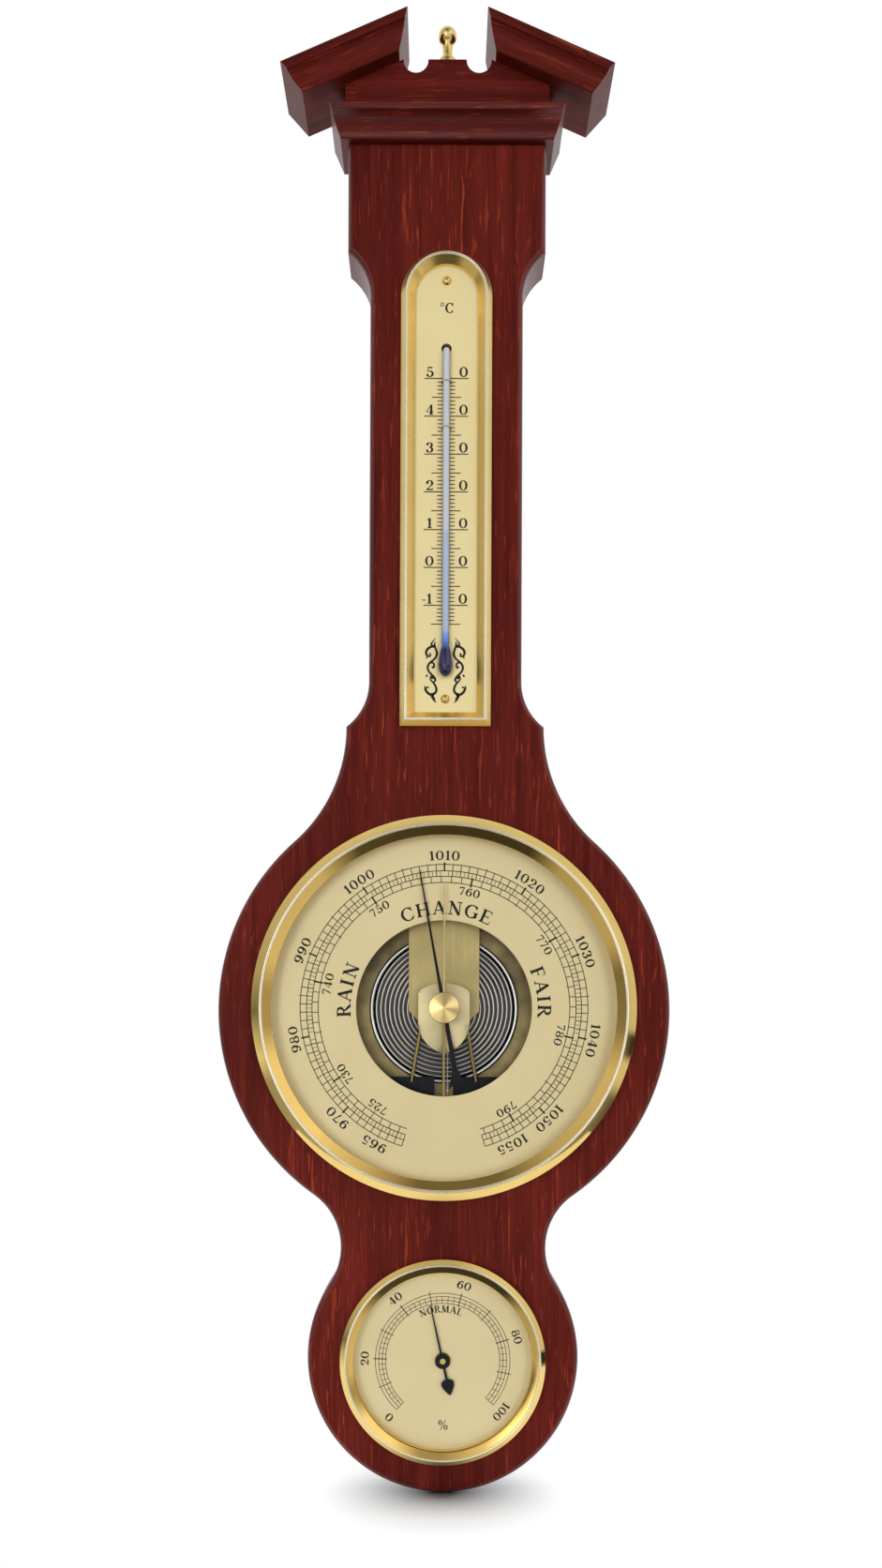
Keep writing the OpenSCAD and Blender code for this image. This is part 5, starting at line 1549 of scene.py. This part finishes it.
def thermometer_print():
    p = Print(0.0)
    for degrees in range(-15, 51):
        up = FRAME_UP + ZERO_UP + degrees * DEGREE
        reach, width = TEN_MARK if degrees % 10 == 0 else FIVE_MARK if degrees % 5 == 0 else MARK
        for side in (-1, 1):
            p.stroke([(side * MARK_START, up, width), (side * reach, up, width)])
    for degrees in range(-10, 51, 10):
        up = FRAME_UP + ZERO_UP + degrees * DEGREE + DEGREE_RISE
        p.letter("0", UNITS_X, up, DEGREE_H)
        p.letter(str(abs(degrees) // 10), TENS_X, up, DEGREE_H)
        if degrees < 0:
            p.letter("-", MINUS_X, up, DEGREE_H)
    p.letter("C", 1.2, FRAME_UP + 174.2, UNIT_H)
    p.letter("o", -1.85, FRAME_UP + 174.3, UNIT_H)
    for side in (-1, 1):
        scroll(p, side)
    return p.piece("thermometer_print")


thermometer_print()


# Floor, light and camera

FLOOR_Z = -0.5496
FLOOR_HALF = 0.25
FLOOR_FRONT = -0.055
SHADOW_Y = -0.020
WHITE = (1, 1, 1)


def seen_directly(n, path, share=1.0):
    """1 for what the camera sees, and a share of it for what a mirror or a glass shows."""
    mirrored = n.math("MAXIMUM", path.outputs["Is Glossy Ray"], path.outputs["Is Transmission Ray"])
    return n.math("MAXIMUM", path.outputs["Is Camera Ray"], n.math("MULTIPLY", mirrored, share))


def floor_material():
    """White floor that keeps a soft shadow near the object and runs out into the white background."""
    n = Nodes("floor_white")
    sky = n.fill(n.add("ShaderNodeAmbientOcclusion", samples=8), Distance=0.03)
    shade = n.remap(n.math("POWER", sky.outputs["AO"], 1.8), 0, 1, 0.10, 0.92)
    length = n.add("ShaderNodeVectorMath", operation="LENGTH")
    n.feed(length.inputs[0], n.coords())
    far = n.remap(length.outputs["Value"], 0.004, 0.050)
    seen = seen_directly(n, n.add("ShaderNodeLightPath"))
    glow = n.shader("ShaderNodeEmission", Color=WHITE, Strength=1.0)
    return n.blend(n.math("MULTIPLY", far, seen), n.shader("ShaderNodeBsdfDiffuse", Color=shade), glow)


def floor():
    corners = [(-FLOOR_HALF, FLOOR_FRONT, 0), (FLOOR_HALF, FLOOR_FRONT, 0), (FLOOR_HALF, FLOOR_HALF, 0),
               (-FLOOR_HALF, FLOOR_HALF, 0)]
    item = make_object("floor", corners, [[0, 1, 2, 3]], floor_material())
    item.location = (0, SHADOW_Y, FLOOR_Z)
    return item


floor()


MIDDLE = Vector((0, -0.02, -0.28))
LAMP_W = 0.5
LAMP_H = 0.9
LAMP_Y = -1.60
LAMP_Z = -0.30


def softbox(name, x, power):
    """A tall lamp before the object that mirrors don't show."""
    data = bpy.data.lights.new(name, "AREA")
    data.shape = "RECTANGLE"
    data.size = LAMP_W
    data.size_y = LAMP_H
    data.energy = power
    item = new_item(name, data)
    item.location = (x, LAMP_Y, LAMP_Z)
    item.rotation_euler = (MIDDLE - item.location).to_track_quat("-Z", "Y").to_euler()
    item.visible_glossy = False


softbox("left_front", -0.85, 7.5)
softbox("right_front", 0.85, 5.5)


# The studio round the object: brightness by direction, in degrees clockwise from straight up
SIDE_PANELS = ((-180, 0.45), (-140, 0.42), (-112, 0.35), (-104, 0.90), (-97, 0.55), (-90, 0.20), (-78, 0.45),
               (-55, 0.60), (-20, 0.72), (10, 0.74), (50, 0.75), (95, 0.70), (97, 0.03), (103, 0.03),
               (105, 0.70), (112, 0.70), (117, 0.10), (140, 0.20), (180, 0.45))
FRONT_PANELS = ((-180, 0.05), (-150, 0.05), (-138, 0.45), (-110, 0.50), (-100, 0.20), (-82, 0.24),
                (-68, 0.65), (-38, 0.55), (-18, 0.18), (8, 0.17), (25, 0.60), (45, 1.00), (72, 0.95),
                (82, 0.42), (94, 0.42), (104, 0.72), (135, 0.60), (150, 0.08), (180, 0.05))
CAMERA_PANELS = ((-180, 0.45), (-158, 0.85), (-120, 1.00), (-95, 1.90), (-62, 1.90), (-38, 0.85), (0, 0.38),
                 (22, 0.40), (48, 1.10), (75, 1.10), (92, 0.40), (108, 0.40), (125, 1.00), (148, 1.00),
                 (180, 0.45))
BACK_PANEL = (0.80, 0.80, 0.80)

# Where one wall of the studio gives way to the next, as shares of the way towards the back
TO_BACK = (0.05, 0.30)
TO_FRONT = (-0.15, -0.55)
TO_CAMERA = (-0.76, -0.86)


def studio_world():
    """White behind the object. The sides and the camera's side are a studio with bright and dark panels."""
    n = Nodes("studio", world=True)
    x, y, z = n.split(n.coords("Generated"))
    turn = n.remap(n.math("ARCTAN2", x, z), -math.pi, math.pi)

    def panels(stops):
        return n.ramp(turn, *[((angle + 180) / 360, (tone, tone, tone)) for angle, tone in stops])

    behind = n.remap(y, *TO_BACK)
    room = n.mix(n.remap(y, *TO_FRONT), panels(SIDE_PANELS), panels(FRONT_PANELS))
    room = n.mix(n.remap(y, *TO_CAMERA), room, panels(CAMERA_PANELS))
    studio = n.mix(behind, room, BACK_PANEL)
    seen = seen_directly(n, n.add("ShaderNodeLightPath"), behind)
    shaded = n.shader("ShaderNodeBackground", Color=studio)
    return n.blend(seen, shaded, n.shader("ShaderNodeBackground", Color=WHITE))


scene.world = studio_world()


def photo_camera():
    data = bpy.data.cameras.new("camera")
    data.sensor_fit = "VERTICAL"
    data.sensor_height = 36.0
    data.lens = 31.5
    data.shift_y = 0.164
    data.clip_start = 0.01
    item = new_item("camera", data)
    item.location = (-0.0012, -0.599, -0.3588)
    item.rotation_mode = "QUATERNION"
    ahead = Vector((0, 1, 0)).to_track_quat("-Z", "Z")
    item.rotation_quaternion = ahead @ Quaternion((0, 0, 1), math.radians(0.22))
    return item


scene.camera = photo_camera()
scene.view_settings.view_transform = "Standard"
